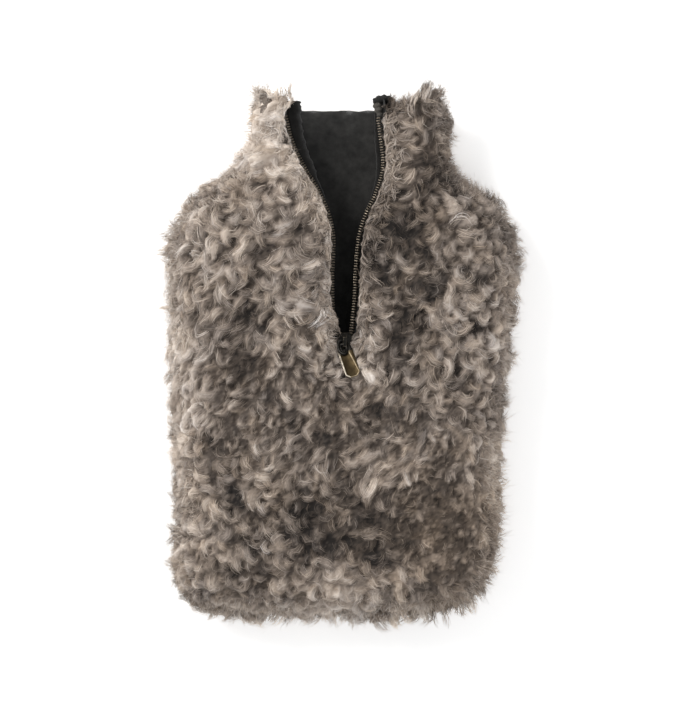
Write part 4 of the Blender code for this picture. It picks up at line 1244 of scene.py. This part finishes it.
def tube(name, path, radii, materials, closed=False, corners=12):
    """A round wire or roll along a path."""
    path = np.array(path, float)
    if closed:
        step = np.roll(path, -1, 0) - np.roll(path, 1, 0)
    else:
        step = np.gradient(path, axis=0)
    along = unit(step)
    side = unit(np.cross(along, [0.0, 0.0, 1.0]))
    up = np.cross(side, along)
    angle = 2 * np.pi * np.arange(corners) / corners
    rings = path[:, None] + np.array(radii, float).reshape(-1, 1, 1) * (
        np.cos(angle)[None, :, None] * side[:, None] + np.sin(angle)[None, :, None] * up[:, None])
    count = len(path)
    faces = [((i % count) * corners + k, (i % count) * corners + (k + 1) % corners,
              ((i + 1) % count) * corners + (k + 1) % corners, ((i + 1) % count) * corners + k)
             for i in range(count if closed else count - 1) for k in range(corners)]
    if not closed:
        faces += [tuple(reversed(range(corners))), tuple(range((count - 1) * corners, count * corners))]
    mesh = bpy.data.meshes.new(name)
    mesh.from_pydata((rings.reshape(-1, 3) * MM).tolist(), [], faces)
    bm = bmesh.new()
    bm.from_mesh(mesh)
    bmesh.ops.recalc_face_normals(bm, faces=bm.faces)
    bm.to_mesh(mesh)
    bm.free()
    mesh.polygons.foreach_set("use_smooth", np.ones(len(mesh.polygons), bool))
    return linked(name, mesh, materials)


def bail():
    """The black wire loop that holds the pull to the slider."""
    x, y, half, reach, radius = BAIL
    angle = 2 * np.pi * np.arange(40) / 40
    across = np.array([-PULL_WAY[1], PULL_WAY[0]])
    flat = np.array([x, y]) + np.cos(angle)[:, None] * reach * PULL_WAY + np.sin(angle)[:, None] * half * across
    high = PULL_PLANE[0] + flat @ PULL_PLANE[1:] + 1.9 + 0.5 * np.cos(2 * angle)
    return tube("bail", np.column_stack([flat, high]), np.full(40, radius), [nickel, nickel], closed=True)


def fold(name, line, inward, widths):
    """The leather's inner side beside a chain, as a thin uneven sheet that slopes in and down."""
    widths = np.array(widths)
    rows = np.linspace(widths[0, 0], widths[-1, 0], 48)
    across = np.linspace(0, 1, 10) ** 0.7
    start = np.stack([np.interp(rows, line[:, 1], line[:, i]) for i in range(3)], 1)
    start[:, 1] = rows
    wide = np.interp(rows, widths[:, 0], widths[:, 1]) * (1 + 0.05 * np.sin(rows * 0.9) + 0.04 * np.sin(rows * 2.3))
    place = np.repeat(start[:, None], len(across), 1)
    place[..., 0] += inward * (1.5 + wide[:, None] * across)
    place[..., 2] += -0.9 - 0.3 * wide[:, None] * across + 0.25 * np.sin(rows * 0.7)[:, None] * across
    place[..., 2] -= 0.9 * wide[:, None] * across ** 6
    index = np.arange(len(rows) * len(across)).reshape(len(rows), -1)
    quads = np.stack([index[:-1, :-1], index[:-1, 1:], index[1:, 1:], index[1:, :-1]], -1).reshape(-1, 4)
    if inward < 0:
        quads = quads[:, ::-1]
    mesh = bpy.data.meshes.new(name)
    mesh.from_pydata((place.reshape(-1, 3) * MM).tolist(), [], quads.tolist())
    mesh.polygons.foreach_set("use_smooth", np.ones(len(quads), bool))
    obj = linked(name, mesh, [SUEDE_EDGE])
    solid = obj.modifiers.new("thickness", "SOLIDIFY")
    solid.thickness = 0.9 * MM
    return obj


def tape_end(name, given, material):
    """Part of the right tape's upper end, turned over the leather's edge."""
    given = np.array(given)
    t = np.linspace(0, len(given) - 1, 26)
    path = np.stack([np.interp(t, np.arange(len(given)), given[:, i]) for i in range(4)], 1)
    base = CHAIN_RIGHT[-1, 2]
    radii = path[:, 3] * (1 + 0.12 * np.sin(t * 7.0))
    return tube(name, np.column_stack([path[:, :2], base + path[:, 2]]), radii, [material])


brass = brass_material("aged_brass", (0.035, 0.029, 0.024), (0.24, 0.20, 0.155), 0.28, 900.0)
nickel = brass_material("black_nickel", (0.010, 0.0095, 0.009), (0.03, 0.028, 0.025), 0.3, 500.0)
nickel_worn = brass_material("black_nickel_worn", (0.03, 0.028, 0.024), (0.16, 0.135, 0.10), 0.26, 700.0)
pull_brass = brass_material("pull_brass", (0.028, 0.020, 0.011), (0.058, 0.042, 0.022), 0.45, 260.0)
# the pull's rounded edges: rubbed bright, and on the left also a painted highlight; on the right a dimmer copy, painted
# shade
pull_shaded = brass_material("pull_brass_painted_shade", (0.10, 0.080, 0.052), (0.24, 0.19, 0.125), 0.42, 400.0)
pull_worn_and_lit = brass_material("pull_brass_worn_and_lit", (0.42, 0.36, 0.28), (0.82, 0.75, 0.62), 0.34, 500.0)

chains = [teeth("teeth_left", CHAIN_LEFT, 1.0, brass), teeth("teeth_right", CHAIN_RIGHT, -1.0, brass)]
tapes = [softened("zip_tape_left", "tape_left", [TAPE], 0.3, 0.6, 1, levels=1),
         softened("zip_tape_right", "tape_right", [TAPE], 0.3, 0.6, 1, levels=1)]
slider = softened("zip_slider", "slider", [nickel, nickel_worn], 0.32, 0.5)
black_from = np.array(PULL_EYE) + PULL_WAY * PULL_BLACK
tab = softened("zip_pull", "pull", [pull_brass, pull_worn_and_lit, nickel, pull_shaded], 0.35, 0.5, rim=(0.8, 0.3),
               cut=(Vector((*black_from, 0.0)) * MM, Vector((*-PULL_WAY, 0.0))))
across = Vector((-PULL_WAY[1], PULL_WAY[0], 0.0))
for vertex in tab.data.vertices:
    aside = (vertex.co - Vector((*PULL_EYE, 0.0)) * MM).dot(across)
    vertex.co += across * (PULL_WIDER * aside - PULL_SHIFT * MM)
# painted shade: the rounded edges on the pull's right side take the dimmer copy of the bright edge colour
for face in tab.data.polygons:
    if face.material_index == 1 and (face.center - Vector((*PULL_EYE, 0.0)) * MM).dot(across) > -2.0 * MM:
        face.material_index = 3
for piece, node, slot in ((chains[0], "zip_teeth_left", "zip_teeth"), (chains[1], "zip_teeth_right", "zip_teeth"),
                          (tapes[0], "zip_tape_left", "zip_tape"), (tapes[1], "zip_tape_right", "zip_tape"),
                          (slider, "zip_slider", "zip_slider"), (tab, "zip_pull", "zip_pull"),
                          (bail(), "zip_slider", "zip_slider"),
                          (tape_end("tape_end_right", TAPE_END, TAPE), "zip_tape_right", "zip_tape"),
                          (tape_end("tape_under_right", TAPE_UNDER, TAPE_PAINTED_LIT), "zip_tape_right", "zip_tape")):
    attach(piece, "root")
    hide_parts(node)
folds = [fold("fold_left", CHAIN_LEFT, 1.0, FOLD_LEFT), fold("fold_right", CHAIN_RIGHT, -1.0, FOLD_RIGHT)]
for piece in folds:
    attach(piece, "root")
    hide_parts("back_panel")


# ---------------------------------------------------------------- studio

def floor():
    mesh = bpy.data.meshes.new("floor")
    half = 6.0
    mesh.from_pydata([(-half, -half, -0.0005), (half, -half, -0.0005), (half, half, -0.0005),
                      (-half, half, -0.0005)], [], [(0, 1, 2, 3)])
    made = principled("floor", (0.92, 0.92, 0.92), 0.9)
    shader = made.node_tree.nodes["Principled BSDF"]
    shader.inputs["Emission Color"].default_value = (1.0, 1.0, 1.0, 1.0)
    shader.inputs["Emission Strength"].default_value = 0.35
    mesh.materials.append(made)
    obj = bpy.data.objects.new("floor", mesh)
    bpy.context.scene.collection.objects.link(obj)


def area_light(name, place, aim, size, power, colour=(1, 1, 1)):
    data = bpy.data.lights.new(name, "AREA")
    data.shape = "SQUARE"
    data.size = size
    data.energy = power
    data.color = colour
    obj = bpy.data.objects.new(name, data)
    obj.location = place
    obj.rotation_euler = (Vector(aim) - Vector(place)).to_track_quat("-Z", "Y").to_euler()
    bpy.context.scene.collection.objects.link(obj)


def studio():
    scene = bpy.context.scene
    floor()
    area_light("key", (-1.3, 1.1, 1.5), (0, 0, 0), 0.8, 34.0, (1.0, 0.985, 0.96))
    area_light("fill", (0.9, -0.8, 1.8), (0, 0, 0), 1.6, 10.0, (0.97, 0.985, 1.0))
    world = bpy.data.worlds.new("studio")
    world.use_nodes = True
    back_light = world.node_tree.nodes["Background"]
    back_light.inputs["Color"].default_value = (1.0, 1.0, 1.0, 1.0)
    back_light.inputs["Strength"].default_value = 0.6
    scene.world = world
    scene.view_settings.view_transform = "Standard"
    camera = bpy.data.cameras.new("camera")
    camera.sensor_width = SENSOR
    camera.lens = SENSOR * (VIEW_DISTANCE - VIEW_PLANE_Z) / VIEW_HEIGHT_MM
    camera.clip_end = 20.0
    obj = bpy.data.objects.new("camera", camera)
    obj.location = (VIEW_AT[0] * MM, VIEW_AT[1] * MM, VIEW_DISTANCE * MM)
    scene.collection.objects.link(obj)
    scene.camera = obj


studio()
